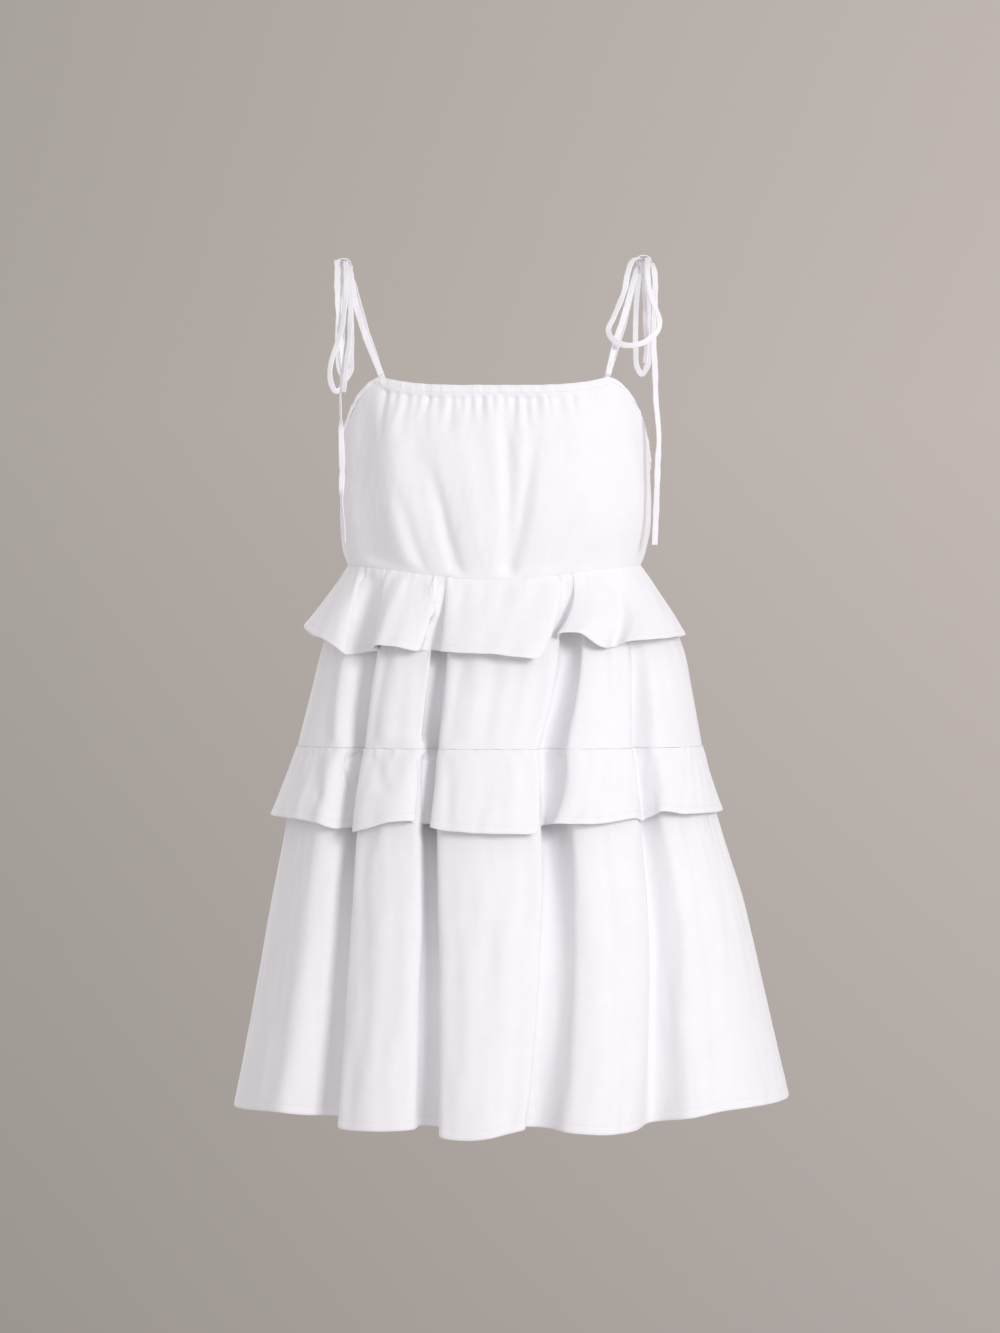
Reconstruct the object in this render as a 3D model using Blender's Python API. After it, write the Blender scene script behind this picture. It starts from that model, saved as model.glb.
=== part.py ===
"""White tiered mini dress with straps tied in bows, every cut piece a solid at its real size.

Metres, +Z up, worn pose, front towards -Y, left is -X. The origin lies midway between the tops of
the two shoulders, where the wearer holds the dress up. Tables are in millimetres and degrees.
An angle goes round the body: 0 at the centre front, 90 at the right side seam, 180 at the back.
"""

from collections import namedtuple

import bmesh
import bpy
import numpy as np
from mathutils import Matrix, Vector

MM = 0.001
COLLECTION = "tiered_mini_dress"

WALL = 1.6  # cloth thickness of the solids
SEAM_GAP = 0.3  # clear space between two sewn pieces
UNDER = WALL + SEAM_GAP  # how far a tier starts inside the ruffle sewn into the same seam

CORNER_Z = -115.0  # neckline corner, where a strap starts
CORNER_AT = 53.0
UNDERARM_Z = -190.0  # lowest point of the armhole
FRONT_NECK_DIP = 10.0
BACK_NECK_DIP = 5.0
CASING_HEIGHT = 8.0
BINDING_HEIGHT = 5.0

WAIST_Z = -286.0  # waist seam at the sides
WAIST_FRONT_DIP = 17.0
TIER_Z = -456.0  # tier seam, where the second ruffle is sewn in
HEM_Z = -791.0
PEPLUM_HEM_Z = -364.0
RUFFLE_HEM_Z = -522.0

RIBBON_WIDTH = 6.5
RIBBON_THICKNESS = 1.1
RIBBON_STEP = 9.0  # length of one straight stretch of a ribbon's solid
KNOT_RADII = (7.8, 8.0, 7.0)
KNOT_SQUARENESS = 4.0

BODICE_ROWS = (0.0, 0.05, 0.13, 0.27, 0.45, 0.64, 0.82, 0.93, 1.0)
UPPER_SKIRT_ROWS = (0.0, 0.12, 0.32, 0.62, 1.0)
LOWER_SKIRT_ROWS = (0.0, 0.06, 0.13, 0.26, 0.45, 0.64, 0.83, 1.0)
RUFFLE_ROWS = (0.0, 0.3, 0.64, 1.0)
FOLD_STEPS = 3  # columns of a skirt tier or a ruffle between two fold lines
ARMHOLE_STEPS = 6

FOLD_SWING = 1.4  # power by which the fold lines swing to their hem angles, late in the lower tier
RUFFLE_FLARE = 1.2  # power by which a ruffle stands off more and more towards its hem
GATHER_FADE_IN = 7.0  # distance below the casing over which a gather deepens
GATHER_WIDTH = 2.2  # degrees
GATHER_RIDGE = 0.35  # height of the ridges beside a gather, as a share of its depth
CREASE_FADE_IN = 0.4  # share of a long crease's length over which it deepens
RIBBON_TURN = (-60.0, 30.0, 2.5)  # level, height and limit of the ribbons' turn to face upwards

Section = namedtuple("Section", "z half_width front_depth back_depth centre_x squareness")

BODICE_SECTIONS = (
    Section(-115, 146.0, 98, 92, 0.0, 2.5),
    Section(-150, 146.0, 106, 96, 0.0, 2.5),
    Section(-190, 146.5, 113, 99, 0.5, 2.5),
    Section(-225, 147.0, 115, 101, 1.0, 2.5),
    Section(-255, 146.0, 111, 101, 0.5, 2.45),
    Section(-275, 142.0, 104, 99, 0.0, 2.35),
    Section(-286, 138.0, 100, 97, 0.0, 2.3),
)

SKIRT_SECTIONS = (
    Section(-286, 138.0, 100, 97, 0.0, 2.3),
    Section(-310, 149.5, 109, 106, 2.5, 2.25),
    Section(-360, 170.5, 126, 123, 7.5, 2.15),
    Section(-400, 179.5, 137, 134, 7.0, 2.1),
    Section(-456, 191.0, 149, 146, 5.0, 2.0),
    Section(-525, 204.0, 163, 159, 7.5, 2.0),
    Section(-600, 222.0, 175, 171, 12.0, 2.0),
    Section(-690, 240.5, 189, 185, 14.5, 2.0),
    Section(-791, 262.0, 207, 202, 16.0, 2.0),
)

# One row for each fold line that runs down the skirt. "at" is its angle at the waist seam, the
# tier seam and the hem, "out" how far it stands off the section, "lift" how far it raises the hem.
FoldLine = namedtuple("FoldLine", "name waist_at tier_at hem_at tier_out hem_out hem_lift")

FRONT_FOLDS = (
    FoldLine("left_side", -90, -90, -90.0, 0, 0, -4),
    FoldLine("crest_1", -77, -66, -62.5, 2, 4, 7),
    FoldLine("edge_1", -67, -56, -53.5, 0, -7, 7),
    FoldLine("valley_1", -59, -51, -47.5, -22, -52, 2.5),
    FoldLine("edge_2", -50.5, -47, -43.0, -1, -3, 0),
    FoldLine("crest_2", -39, -36, -33.0, 3, 5, 1),
    FoldLine("edge_3", -30, -27, -24.8, 0, -5, 3),
    FoldLine("valley_2", -26, -23.7, -21.3, -26, -60, 1.5),
    FoldLine("edge_4", -22, -20.3, -17.3, 0, -2, -2.5),
    FoldLine("crest_3", 2, -4, -7.8, 4, 7, -2.5),
    FoldLine("edge_5", 29, 14, 4.0, 0, -5, 4.5),
    FoldLine("valley_3", 35, 21.5, 10.8, -16, -42, 2),
    FoldLine("edge_6", 40, 27, 15.2, 0, -3, 2),
    FoldLine("crest_4", 46, 36, 22.5, 3, 5, 0),
    FoldLine("edge_7", 52, 45.5, 31.0, -2, -9, 0),
    FoldLine("valley_4", 56, 50.8, 38.8, -15, -38, 1),
    FoldLine("edge_8", 61, 55.5, 44.4, 0, -3, 8),
    FoldLine("crest_5", 72, 66, 56.5, 3, 3, 12),
    FoldLine("right_side", 90, 90, 90.0, 0, 0, 5),
)

# The back isn't shown: five soft valleys like those of the front, a row for each.
BackValley = namedtuple("BackValley", "at half_width tier_out hem_out")

BACK_VALLEYS = (
    BackValley(111, 7.0, -17, -46),
    BackValley(146, 6.5, -24, -58),
    BackValley(178, 7.5, -16, -42),
    BackValley(215, 6.5, -24, -56),
    BackValley(250, 7.0, -18, -48),
)

# A ruffle's hem, a row for each fold line: how far it stands off the skirt under it, how far it
# sways sideways in degrees, and how far it rises above the ruffle's level hem.
Wave = namedtuple("Wave", "line out sway lift")

PEPLUM_WAVES = (
    Wave("left_side", 22.5, 0, 22),
    Wave("crest_1", 20, 4.5, 10.5),
    Wave("edge_1", 17, 4, -0.5),
    Wave("valley_1", 7, 2.6, 1.5),
    Wave("edge_2", 15, 1.2, 3),
    Wave("crest_2", 22, 0.7, 7),
    Wave("edge_3", 15, 0.5, 4),
    Wave("valley_2", 9, -0.6, 5.5),
    Wave("edge_4", 14, -1.3, 4.5),
    Wave("crest_3", 19, -3.6, 3.5),
    Wave("edge_5", 18, -6, -2),
    Wave("valley_3", 13, -7.3, 11),
    Wave("edge_6", 17, -8, 20),
    Wave("crest_4", 21, -11, 18.5),
    Wave("edge_7", 15, -12.3, 4.5),
    Wave("valley_4", 10, -10.6, 4),
    Wave("edge_8", 17, -12, 8.5),
    Wave("crest_5", 19, -12.5, 9.5),
    Wave("right_side", 4, 0, 14),
)

RUFFLE_WAVES = (
    Wave("left_side", 16, 0, 1.5),
    Wave("crest_1", 15, 2.6, 1.5),
    Wave("edge_1", 12, 2.6, -5.5),
    Wave("valley_1", 17.5, 1.5, -5.5),
    Wave("edge_2", 14, 1.5, -8),
    Wave("crest_2", 15, 1.3, 1.5),
    Wave("edge_3", 11, 0.9, 4),
    Wave("valley_2", 14, -0.3, 0),
    Wave("edge_4", 13, -1, -2.5),
    Wave("crest_3", 14, -2.3, -6.5),
    Wave("edge_5", 15, -1.5, -6.5),
    Wave("valley_3", 17, -4.6, -2),
    Wave("edge_6", 13, -7, 1.5),
    Wave("crest_4", 14, -6.5, 1),
    Wave("edge_7", 12, -3.8, 4.5),
    Wave("valley_4", 13, -2.5, 1),
    Wave("edge_8", 12, -4.8, 10),
    Wave("crest_5", 12, -6.4, 7),
    Wave("right_side", 5.5, 0, 5.5),
)

# The ruffles over the back: how far the hem stands off and rises on its crests and in its valleys.
BackWaves = namedtuple("BackWaves", "crest_out valley_out crest_lift valley_lift")

BACK_PEPLUM = BackWaves(18, 8, 4, 16)
BACK_RUFFLE = BackWaves(16, 8, -2, 2)
BACK_OUT_SPAN = 45.0  # degrees from a side seam over which the back takes these values
BACK_LIFT_SPAN = 25.0

# Gathers that the casing draws in, a row for each: where it starts, its depth and its length.
Gather = namedtuple("Gather", "at depth length")

FRONT_GATHERS = (
    Gather(-49, 2.2, 42),
    Gather(-44, 1.8, 30),
    Gather(-36, 2.4, 55),
    Gather(-30, 2.0, 32),
    Gather(-23, 2.4, 48),
    Gather(-15, 1.6, 26),
    Gather(-9, 2.0, 40),
    Gather(0, 1.4, 24),
    Gather(9, 2.6, 60),
    Gather(17, 1.6, 30),
    Gather(24, 2.0, 36),
    Gather(31, 1.8, 28),
    Gather(40, 2.0, 34),
    Gather(47, 1.6, 24),
)
BACK_GATHER_COUNT = 12
BACK_GATHER_MARGIN = 4.0  # degrees from a neckline corner to the first gather
BACK_GATHER = Gather(0, 1.9, 40)

# Long soft creases of the front, a row for each, from (top_at, top_z) to (low_at, low_z).
Crease = namedtuple("Crease", "top_at top_z low_at low_z half_width depth")

FRONT_CREASES = (
    Crease(10, -150, 8, -300, 5.0, 2.5),
    Crease(-33, -195, -19, -300, 5.0, 2.5),
    Crease(-50, -225, -41, -300, 4.0, 2.0),
    Crease(36, -215, 27, -300, 6.0, 2.0),
)

# The ties' routes, from the knot outwards, chosen by hand. The first and last points are its ends.
LEFT_KNOT = (-143.5, 0.0, 0.0)
RIGHT_KNOT = (141.5, 0.0, 3.0)
ROUTES = {
    "strap_front_left": (
        (-140, -9, -5), (-136, -22, -12), (-132.5, -36, -28), (-128.5, -49, -47), (-118, -65, -80),
        (-104.5, -79.5, -113),
    ),
    "strap_back_left": (
        (-140, 9, -5), (-136, 22, -12), (-131, 38, -30), (-125, 51, -52), (-115, 63, -82),
        (-105, 73.5, -113),
    ),
    "bow_loop_front_left": (
        (-141, -9, 2), (-139.5, -29, -8), (-138, -48, -27), (-139, -61, -50), (-141.5, -68, -71),
        (-145.5, -70, -84), (-149.5, -71, -96), (-152, -71.5, -110), (-150.5, -71.5, -121),
        (-146.5, -71.5, -127.5), (-142, -71, -126), (-139.5, -69, -116), (-140, -67, -102),
        (-142, -64, -85), (-144, -60, -63), (-146, -51, -40), (-147.5, -31, -11), (-148, -9, 3),
    ),
    "bow_loop_back_left": (
        (-148, 9, 2), (-148.5, 27, -8), (-150, 45, -28), (-152, 57, -52), (-152.5, 64, -78),
        (-150, 67, -94), (-145.5, 68, -100), (-141, 67, -94), (-139.5, 63, -76), (-139, 56, -50),
        (-139.5, 44, -26), (-140.5, 27, -8), (-141, 9, 2),
    ),
    "tie_tail_long_left": (
        (-145.5, -9, -1.5), (-143, -27, -11), (-142, -39, -28), (-142, -47, -50), (-142, -51, -74),
        (-142.5, -55, -102), (-143, -60, -130), (-142, -64, -163), (-141, -66, -202),
        (-141.5, -66, -223), (-140, -66, -244), (-139, -66, -267),
    ),
    "tie_tail_short_left": (
        (-138, -9, -1.5), (-135.5, -26, -10.5), (-133.5, -40.5, -27), (-133.5, -52, -45),
        (-134, -58, -62), (-134.5, -66, -82), (-136.5, -72, -100), (-138, -75, -117),
        (-139, -76, -129),
    ),
    "strap_front_right": (
        (138, -9, -2), (134, -22, -9), (129, -36, -24), (124, -49, -43), (118.5, -58, -61),
        (111.5, -68, -83), (104.5, -79.5, -113),
    ),
    "strap_back_right": (
        (138, 9, -2), (134, 22, -9), (130, 38, -28), (124.5, 51, -52), (115, 63, -82),
        (105, 73.5, -113),
    ),
    "bow_loop_front_right": (
        (137, -9, 5), (130.5, -22, 1.5), (124.5, -38, -14), (121, -50, -31), (115, -59, -47),
        (109.5, -66, -60), (105, -72, -71), (107.5, -77, -79), (116, -80, -85), (125, -81, -86.5),
        (135, -80, -84.5), (144, -77, -79), (151, -72, -71), (152.5, -66, -61), (150, -60, -51),
        (146, -54, -38), (143.5, -44, -22), (143.5, -28, -3), (144.5, -9, 5.5),
    ),
    "bow_loop_back_right": (
        (138.5, 9, 5), (138.5, 27, -5), (137.5, 44, -23), (137, 56, -47), (137.5, 63, -73),
        (139.5, 67, -90), (143.5, 68, -96), (148, 67, -90), (150.5, 64, -74), (150, 57, -48),
        (148, 45, -24), (146.5, 27, -5), (145.5, 9, 5),
    ),
    "tie_tail_long_right": (
        (146.5, -9, 1), (149.5, -24, -6), (150.5, -35, -24), (149.5, -42, -45), (148, -47, -64),
        (148, -52, -80), (149, -59, -110), (149.5, -64, -136), (151, -67, -154), (152, -68, -169),
        (151, -68, -191), (150, -68, -219), (149, -68, -246), (148, -68, -269),
    ),
    "tie_tail_short_right": (
        (139, -9, 1.2), (140, -23, -6), (140.5, -34, -24), (140.5, -44, -45), (140.5, -51, -62),
        (141, -56, -80), (140.5, -58, -92), (139.5, -59, -100),
    ),
}


def smooth_curve(x, y, at):
    """Value at each place on the cubic curve through (x, y), each slope taken from its neighbours."""
    x, y = np.asarray(x, float), np.asarray(y, float)
    slope = np.gradient(y, x)
    i = np.clip(np.searchsorted(x, at, side="right") - 1, 0, len(x) - 2)
    width = x[i + 1] - x[i]
    t = np.clip((at - x[i]) / width, 0.0, 1.0)
    start = (1 + 2 * t) * (1 - t) ** 2 * y[i] + t * (1 - t) ** 2 * width * slope[i]
    end = t * t * (3 - 2 * t) * y[i + 1] + t * t * (t - 1) * width * slope[i + 1]
    return start + end


def smoothstep(t):
    """0 up to t = 0, 1 from t = 1, and an S between."""
    t = np.clip(t, 0.0, 1.0)
    return t * t * (3 - 2 * t)


def bell(t):
    """A soft bump, 1 at 0 and nearly nothing past 2."""
    return np.exp(-t * t)


def ring(angle, z, sections):
    """Points of the body's outline at level z, and its outward directions, as (x, y) arrays."""
    level = [-s.z for s in sections]
    width, front, back, centre, square = (
        smooth_curve(level, [getattr(s, name) for s in sections], -np.asarray(z, float))
        for name in Section._fields[1:]
    )
    sin, cos = np.sin(np.radians(angle)), np.cos(np.radians(angle))
    depth = np.where(cos > 0, front, back)
    across, along = np.abs(sin) / width, np.abs(cos) / depth
    radius = (across**square + along**square) ** (-1 / square)
    place = np.stack([centre + radius * sin, -radius * cos], axis=-1)
    outward = np.stack(
        [
            np.sign(sin) * across ** (square - 1) / width,
            -np.sign(cos) * along ** (square - 1) / depth,
        ],
        axis=-1,
    )
    return place, outward / np.linalg.norm(outward, axis=-1, keepdims=True)


def standing(angle, z, out, sections, drop=0.0):
    """3-D points that stand out millimetres off the outline at level z, lowered by drop."""
    place, outward = ring(angle, z, sections)
    flat = place + outward * np.asarray(out, float)[..., None]
    return np.concatenate([flat, np.broadcast_to(z - drop, flat.shape[:-1])[..., None]], axis=-1)


def waist_drop(angle):
    """How far the waist seam hangs lower at the centre front than at the sides."""
    cos = np.cos(np.radians(angle))
    return WAIST_FRONT_DIP * np.where(cos > 0, cos, 0.0) ** 2


# ---------------------------------------------------------------- skirt and ruffles


def back_fold_lines():
    """Fold lines of the back: a crest, an edge, a valley and an edge for each valley in the table."""
    rows = []
    for number, valley in enumerate(BACK_VALLEYS, start=1):
        for side, out_share in ((-1, 0.0), (0, 1.0), (1, 0.0)):
            at = valley.at + side * valley.half_width
            kind = "valley" if side == 0 else f"edge_{'ab'[side > 0]}"
            rows.append(
                FoldLine(
                    f"back_{kind}_{number}", at, at, at,
                    valley.tier_out * out_share, valley.hem_out * out_share, -2 * abs(side),
                )
            )
    return tuple(rows)


BACK_FOLDS = back_fold_lines()
FOLDS = FRONT_FOLDS + BACK_FOLDS
SIDE_RIGHT = len(FRONT_FOLDS) - 1  # its place in FOLDS; the left side is 0


def back_waves(waves, back):
    """Ruffle waves over the back's fold lines, blended from the side seams' own waves."""
    rows = []
    for line in BACK_FOLDS:
        side = waves[-1] if line.tier_at < 180 else waves[0]
        from_side = 90 - abs(line.tier_at - 180)
        valley = "valley" in line.name
        out = back.valley_out if valley else back.crest_out
        lift = back.valley_lift if valley else back.crest_lift
        out = side.out + (out - side.out) * smoothstep(from_side / BACK_OUT_SPAN)
        lift = side.lift + (lift - side.lift) * smoothstep(from_side / BACK_LIFT_SPAN)
        rows.append(Wave(line.name, out, 0, lift))
    return tuple(rows)


def round_the_body(rows, column, at):
    """Value of a named column at a place counted in rows, on a closed curve through all of them."""
    turn = 360.0 if column.endswith("_at") else 0.0
    values = [getattr(r, column) for r in rows]
    values = (
        [v - turn for v in values[-3:]] + values + [v + turn for v in values[:3]]
    )
    return smooth_curve(np.arange(-3, len(rows) + 3), values, at)


def skirt_line(place, z):
    """Angle and stand-off of the skirt at a place counted in fold lines and a level z."""
    waist, tier, hem = (round_the_body(FOLDS, f"{level}_at", place) for level in ("waist", "tier", "hem"))
    upper = np.clip((WAIST_Z - z) / (WAIST_Z - TIER_Z), 0, 1)
    lower = np.clip((TIER_Z - z) / (TIER_Z - HEM_Z), 0, 1)
    tier_out = round_the_body(FOLDS, "tier_out", place)
    hem_out = round_the_body(FOLDS, "hem_out", place)
    angle = waist + (tier - waist) * upper + (hem - tier) * lower**FOLD_SWING
    out = tier_out * upper + (hem_out - tier_out) * lower
    return angle, out


def tier_grid(place, rows, top, bottom, tucked_to):
    """Points of a skirt tier between two levels. It starts inside the ruffle, which tucked_to ends."""
    down = np.asarray(rows)[:, None]
    place = place[None, :]
    z = top + (bottom - top) * down
    angle, out = skirt_line(place, z)
    drop = waist_drop(angle) * np.clip((TIER_Z - z) / (TIER_Z - WAIST_Z), 0, 1)
    lower = np.clip((TIER_Z - z) / (TIER_Z - HEM_Z), 0, 1)
    drop = drop - round_the_body(FOLDS, "hem_lift", place) * lower**2
    points = standing(angle, z, out, SKIRT_SECTIONS, drop)
    normals, lean = flat_normals(points, closed=True)
    tuck = UNDER * (1 - smoothstep(down / tucked_to))
    return points - normals * tuck[..., None] / lean


def ruffle_grid(place, waves, top, hem):
    """Points of a ruffle: the skirt's own points, moved out, swayed and lifted more towards its hem."""
    down = np.asarray(RUFFLE_ROWS)[:, None]
    place = place[None, :]
    z = top + (hem - top + round_the_body(waves, "lift", place)) * down
    angle, out = skirt_line(place, z)
    drop = waist_drop(angle) * np.clip((TIER_Z - z) / (TIER_Z - WAIST_Z), 0, 1)
    angle = angle + round_the_body(waves, "sway", place) * down**2
    out = out + round_the_body(waves, "out", place) * down**RUFFLE_FLARE
    return standing(angle, z, out, SKIRT_SECTIONS, drop)


# ---------------------------------------------------------------- bodice


def top_edge(angle):
    """Height of the bodice's finished top edge: two dipping necklines and two armholes."""
    turned = (np.asarray(angle, float) + 90) % 360 - 90
    back = turned > 90
    from_centre = np.abs(np.where(back, turned - 180, turned))
    dip = np.where(back, BACK_NECK_DIP, FRONT_NECK_DIP)
    neckline = CORNER_Z - dip * (1 - np.minimum(from_centre / CORNER_AT, 1) ** 4)
    up = (90 - from_centre) / (90 - CORNER_AT)
    armhole = UNDERARM_Z + (CORNER_Z - UNDERARM_Z) * smoothstep(up)
    return np.where(from_centre <= CORNER_AT, neckline, armhole)


def band_height(angle):
    """Height of the casing or the binding that finishes the top edge."""
    turned = (np.asarray(angle, float) + 90) % 180 - 90
    return np.where(np.abs(turned) <= CORNER_AT, CASING_HEIGHT, BINDING_HEIGHT)


def back_gathers():
    """Evenly spaced gathers of the back neckline."""
    span = 2 * (CORNER_AT - BACK_GATHER_MARGIN)
    return tuple(
        BACK_GATHER._replace(at=180 - span / 2 + span * k / (BACK_GATHER_COUNT - 1))
        for k in range(BACK_GATHER_COUNT)
    )


def gathered(angle, below):
    """Stand-off from the gathers at a distance below the casing."""
    out = np.zeros(np.broadcast(angle, below).shape)
    for g in FRONT_GATHERS + back_gathers():
        fade_out = 1 - smoothstep((below - GATHER_FADE_IN) / g.length)
        near = (angle - g.at) / GATHER_WIDTH
        across = bell(near) * (1 - GATHER_RIDGE * near**2)
        out = out - g.depth * smoothstep(below / GATHER_FADE_IN) * fade_out * across
    return out


def creased(angle, z):
    """Stand-off from the long creases."""
    out = np.zeros(np.broadcast(angle, z).shape)
    for c in FRONT_CREASES:
        along = (c.top_z - z) / (c.top_z - c.low_z)
        middle = c.top_at + (c.low_at - c.top_at) * along
        out = out - c.depth * smoothstep(along / CREASE_FADE_IN) * bell((angle - middle) / c.half_width)
    return out


def bodice_points(angle, z):
    """Points of the bodice's cloth at an angle and a level, before the waist seam's dip."""
    below = top_edge(angle) - band_height(angle) - z
    out = gathered(angle, np.maximum(below, 0)) + creased(angle, z)
    dip = waist_drop(angle) * smoothstep((UNDERARM_Z - z) / (UNDERARM_Z - WAIST_Z))
    return standing(angle, z, out, BODICE_SECTIONS, dip)


def bodice_angles():
    """Angles of the bodice's columns: the armholes evenly, and each gather and the space beside it."""
    angles = []
    for gathers, centre in ((FRONT_GATHERS, 0), (back_gathers(), 180)):
        corner = np.array([centre - CORNER_AT, centre + CORNER_AT])
        angles += list(np.linspace(centre - 90, corner[0], ARMHOLE_STEPS)[:-1])
        valleys = np.array([g.at for g in gathers], float)
        between = (np.concatenate([corner[:1], valleys]) + np.concatenate([valleys, corner[1:]])) / 2
        angles += sorted([*corner, *valleys, *between])
        angles += list(np.linspace(corner[1], centre + 90, ARMHOLE_STEPS)[1:-1])
    return np.array(angles)


# ---------------------------------------------------------------- solids


def flat_normals(points, closed):
    """Level outward directions of a grid's surface, and how far each leans from the true one."""
    if closed:
        padded = np.concatenate([points[:, -1:], points, points[:, :1]], axis=1)
        across = padded[:, 2:] - padded[:, :-2]
    else:
        across = np.gradient(points, axis=1)
    down = np.gradient(points, axis=0)
    normal = np.cross(down, across)
    length = np.linalg.norm(normal, axis=-1, keepdims=True)
    level = normal * (1.0, 1.0, 0.0)
    level_length = np.linalg.norm(level, axis=-1, keepdims=True)
    return level / level_length, np.clip(level_length / length, 0.6, 1.0)


def wall_mesh(name, outer, inner):
    """Closed mesh between an outer and an inner grid of points, faces outwards."""
    rows, columns = outer.shape[:2]
    index = np.arange(rows * columns).reshape(rows, columns)
    back = index + rows * columns

    def quads(a, b, c, d):
        return np.stack([a, b, c, d], axis=-1).reshape(-1, 4)

    faces = np.concatenate(
        [
            quads(index[:-1, :-1], index[1:, :-1], index[1:, 1:], index[:-1, 1:]),
            quads(back[:-1, :-1], back[:-1, 1:], back[1:, 1:], back[1:, :-1]),
            quads(index[0, :-1], index[0, 1:], back[0, 1:], back[0, :-1]),
            quads(index[-1, :-1], back[-1, :-1], back[-1, 1:], index[-1, 1:]),
            quads(index[:-1, 0], back[:-1, 0], back[1:, 0], index[1:, 0]),
            quads(index[:-1, -1], index[1:, -1], back[1:, -1], back[:-1, -1]),
        ]
    )
    vertices = np.concatenate([outer.reshape(-1, 3), inner.reshape(-1, 3)]) * MM
    mesh = bpy.data.meshes.new(name)
    mesh.from_pydata(vertices.tolist(), [], faces.tolist())
    mesh.shade_smooth()
    mesh.set_sharp_from_angle(angle=np.radians(60))
    return mesh


def add_object(name, mesh, material, collection):
    """A new object of the dress with its material."""
    mesh.materials.append(material)
    piece = bpy.data.objects.new(name, mesh)
    collection.objects.link(piece)
    return piece


def add_panels(names, points, split, material, collection):
    """Front and back walls cut from one closed grid at the side seams, with a gap at each seam."""
    normals, lean = flat_normals(points, closed=True)
    half = normals * WALL / 2 / lean
    columns = points.shape[1]
    for name, chosen in zip(
        names, (np.arange(0, split + 1), np.arange(split, columns + 1) % columns), strict=True
    ):
        panel = points[:, chosen].copy()
        for edge, direction in ((0, 1), (-1, -1)):
            beside = panel[:, edge + direction] - panel[:, edge]
            beside[:, 2] = 0
            panel[:, edge] += SEAM_GAP / 2 * beside / np.linalg.norm(beside, axis=1, keepdims=True)
        mesh = wall_mesh(name, panel + half[:, chosen], panel - half[:, chosen])
        add_object(name, mesh, material, collection)


def add_skirt(material, collection):
    """Both skirt tiers and both ruffles, front and back."""
    place = np.arange(len(FOLDS) * FOLD_STEPS) / FOLD_STEPS
    split = SIDE_RIGHT * FOLD_STEPS
    gap = SEAM_GAP / 2
    tiers = (
        ("upper_skirt", UPPER_SKIRT_ROWS, WAIST_Z - gap, TIER_Z + gap, 1.0),
        ("lower_skirt", LOWER_SKIRT_ROWS, TIER_Z - gap, HEM_Z, 0.3),
    )
    for name, rows, top, bottom, tucked_to in tiers:
        grid = tier_grid(place, rows, top, bottom, tucked_to)
        add_panels((f"{name}_front", f"{name}_back"), grid, split, material, collection)
    ruffles = (
        ("peplum", PEPLUM_WAVES, BACK_PEPLUM, WAIST_Z - gap, PEPLUM_HEM_Z),
        ("ruffle", RUFFLE_WAVES, BACK_RUFFLE, TIER_Z - gap, RUFFLE_HEM_Z),
    )
    for name, waves, back, top, hem in ruffles:
        grid = ruffle_grid(place, waves + back_waves(waves, back), top, hem)
        add_panels((f"{name}_front", f"{name}_back"), grid, split, material, collection)


def add_bodice(material, collection):
    """Front and back panels, from under the bands down to the waist seam."""
    angle = bodice_angles()
    split = int(np.argmin(np.abs(angle - 90)))
    top = (top_edge(angle) - band_height(angle) - SEAM_GAP)[None, :]
    down = np.asarray(BODICE_ROWS)[:, None]
    z = top + (WAIST_Z + SEAM_GAP / 2 - top) * down
    grid = bodice_points(angle[None, :], z)
    add_panels(("bodice_front", "bodice_back"), grid, split, material, collection)


def add_bands(material, collection):
    """Neck casings, and armhole bindings that run under the arm from corner to corner."""
    angle = bodice_angles()
    bands = {
        "neck_casing_front": (-CORNER_AT, CORNER_AT),
        "neck_casing_back": (180 - CORNER_AT, 180 + CORNER_AT),
        "armhole_binding_right": (CORNER_AT, 180 - CORNER_AT),
        "armhole_binding_left": (180 + CORNER_AT, 360 - CORNER_AT),
    }
    turns = np.concatenate([angle, angle + 360])
    for name, (start, end) in bands.items():
        chosen = turns[(turns > start - 0.01) & (turns < end + 0.01)]
        gap = np.degrees(SEAM_GAP / 2 / BODICE_SECTIONS[0].half_width)
        chosen = np.concatenate([[chosen[0] + gap], chosen[1:-1], [chosen[-1] - gap]])
        height = CASING_HEIGHT if "casing" in name else BINDING_HEIGHT
        z = top_edge(chosen)[None, :] - np.array([0.0, height])[:, None]
        points = bodice_points(chosen[None, :], z)
        normals, lean = flat_normals(points, closed=False)
        half = normals * WALL / 2 / lean
        add_object(name, wall_mesh(name, points + half, points - half), material, collection)


def ribbon_line(route):
    """Evenly spaced points on a smooth curve through a route's points."""
    route = np.array(route, float)
    length = np.concatenate([[0], np.cumsum(np.linalg.norm(np.diff(route, axis=0), axis=1))])
    at = np.linspace(0, length[-1], max(3, int(length[-1] / RIBBON_STEP) + 1))
    return np.stack([smooth_curve(length, route[:, k], at) for k in range(3)], axis=1)


def add_ties(material, collection):
    """Straps, bow loops and tails: flat ribbons whose faces lie against the shoulder and the chest."""
    for name, route in ROUTES.items():
        line = ribbon_line(route)
        tangent = np.gradient(line, axis=0)
        tangent /= np.linalg.norm(tangent, axis=1, keepdims=True)
        forward = np.sign(line[:, 1])
        level, height, limit = RIBBON_TURN
        rise = np.clip((line[:, 2] - level) / height, 0, limit)
        face = np.stack([np.zeros(len(line)), forward, rise], axis=1)
        side = np.cross(face, tangent)
        side /= np.linalg.norm(side, axis=1, keepdims=True)
        normal = np.cross(tangent, side)
        strip = np.stack([line - side * RIBBON_WIDTH / 2, line + side * RIBBON_WIDTH / 2], axis=1)
        half = normal[:, None, :] * RIBBON_THICKNESS / 2
        add_object(name, wall_mesh(name, strip + half, strip - half), material, collection)


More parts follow.
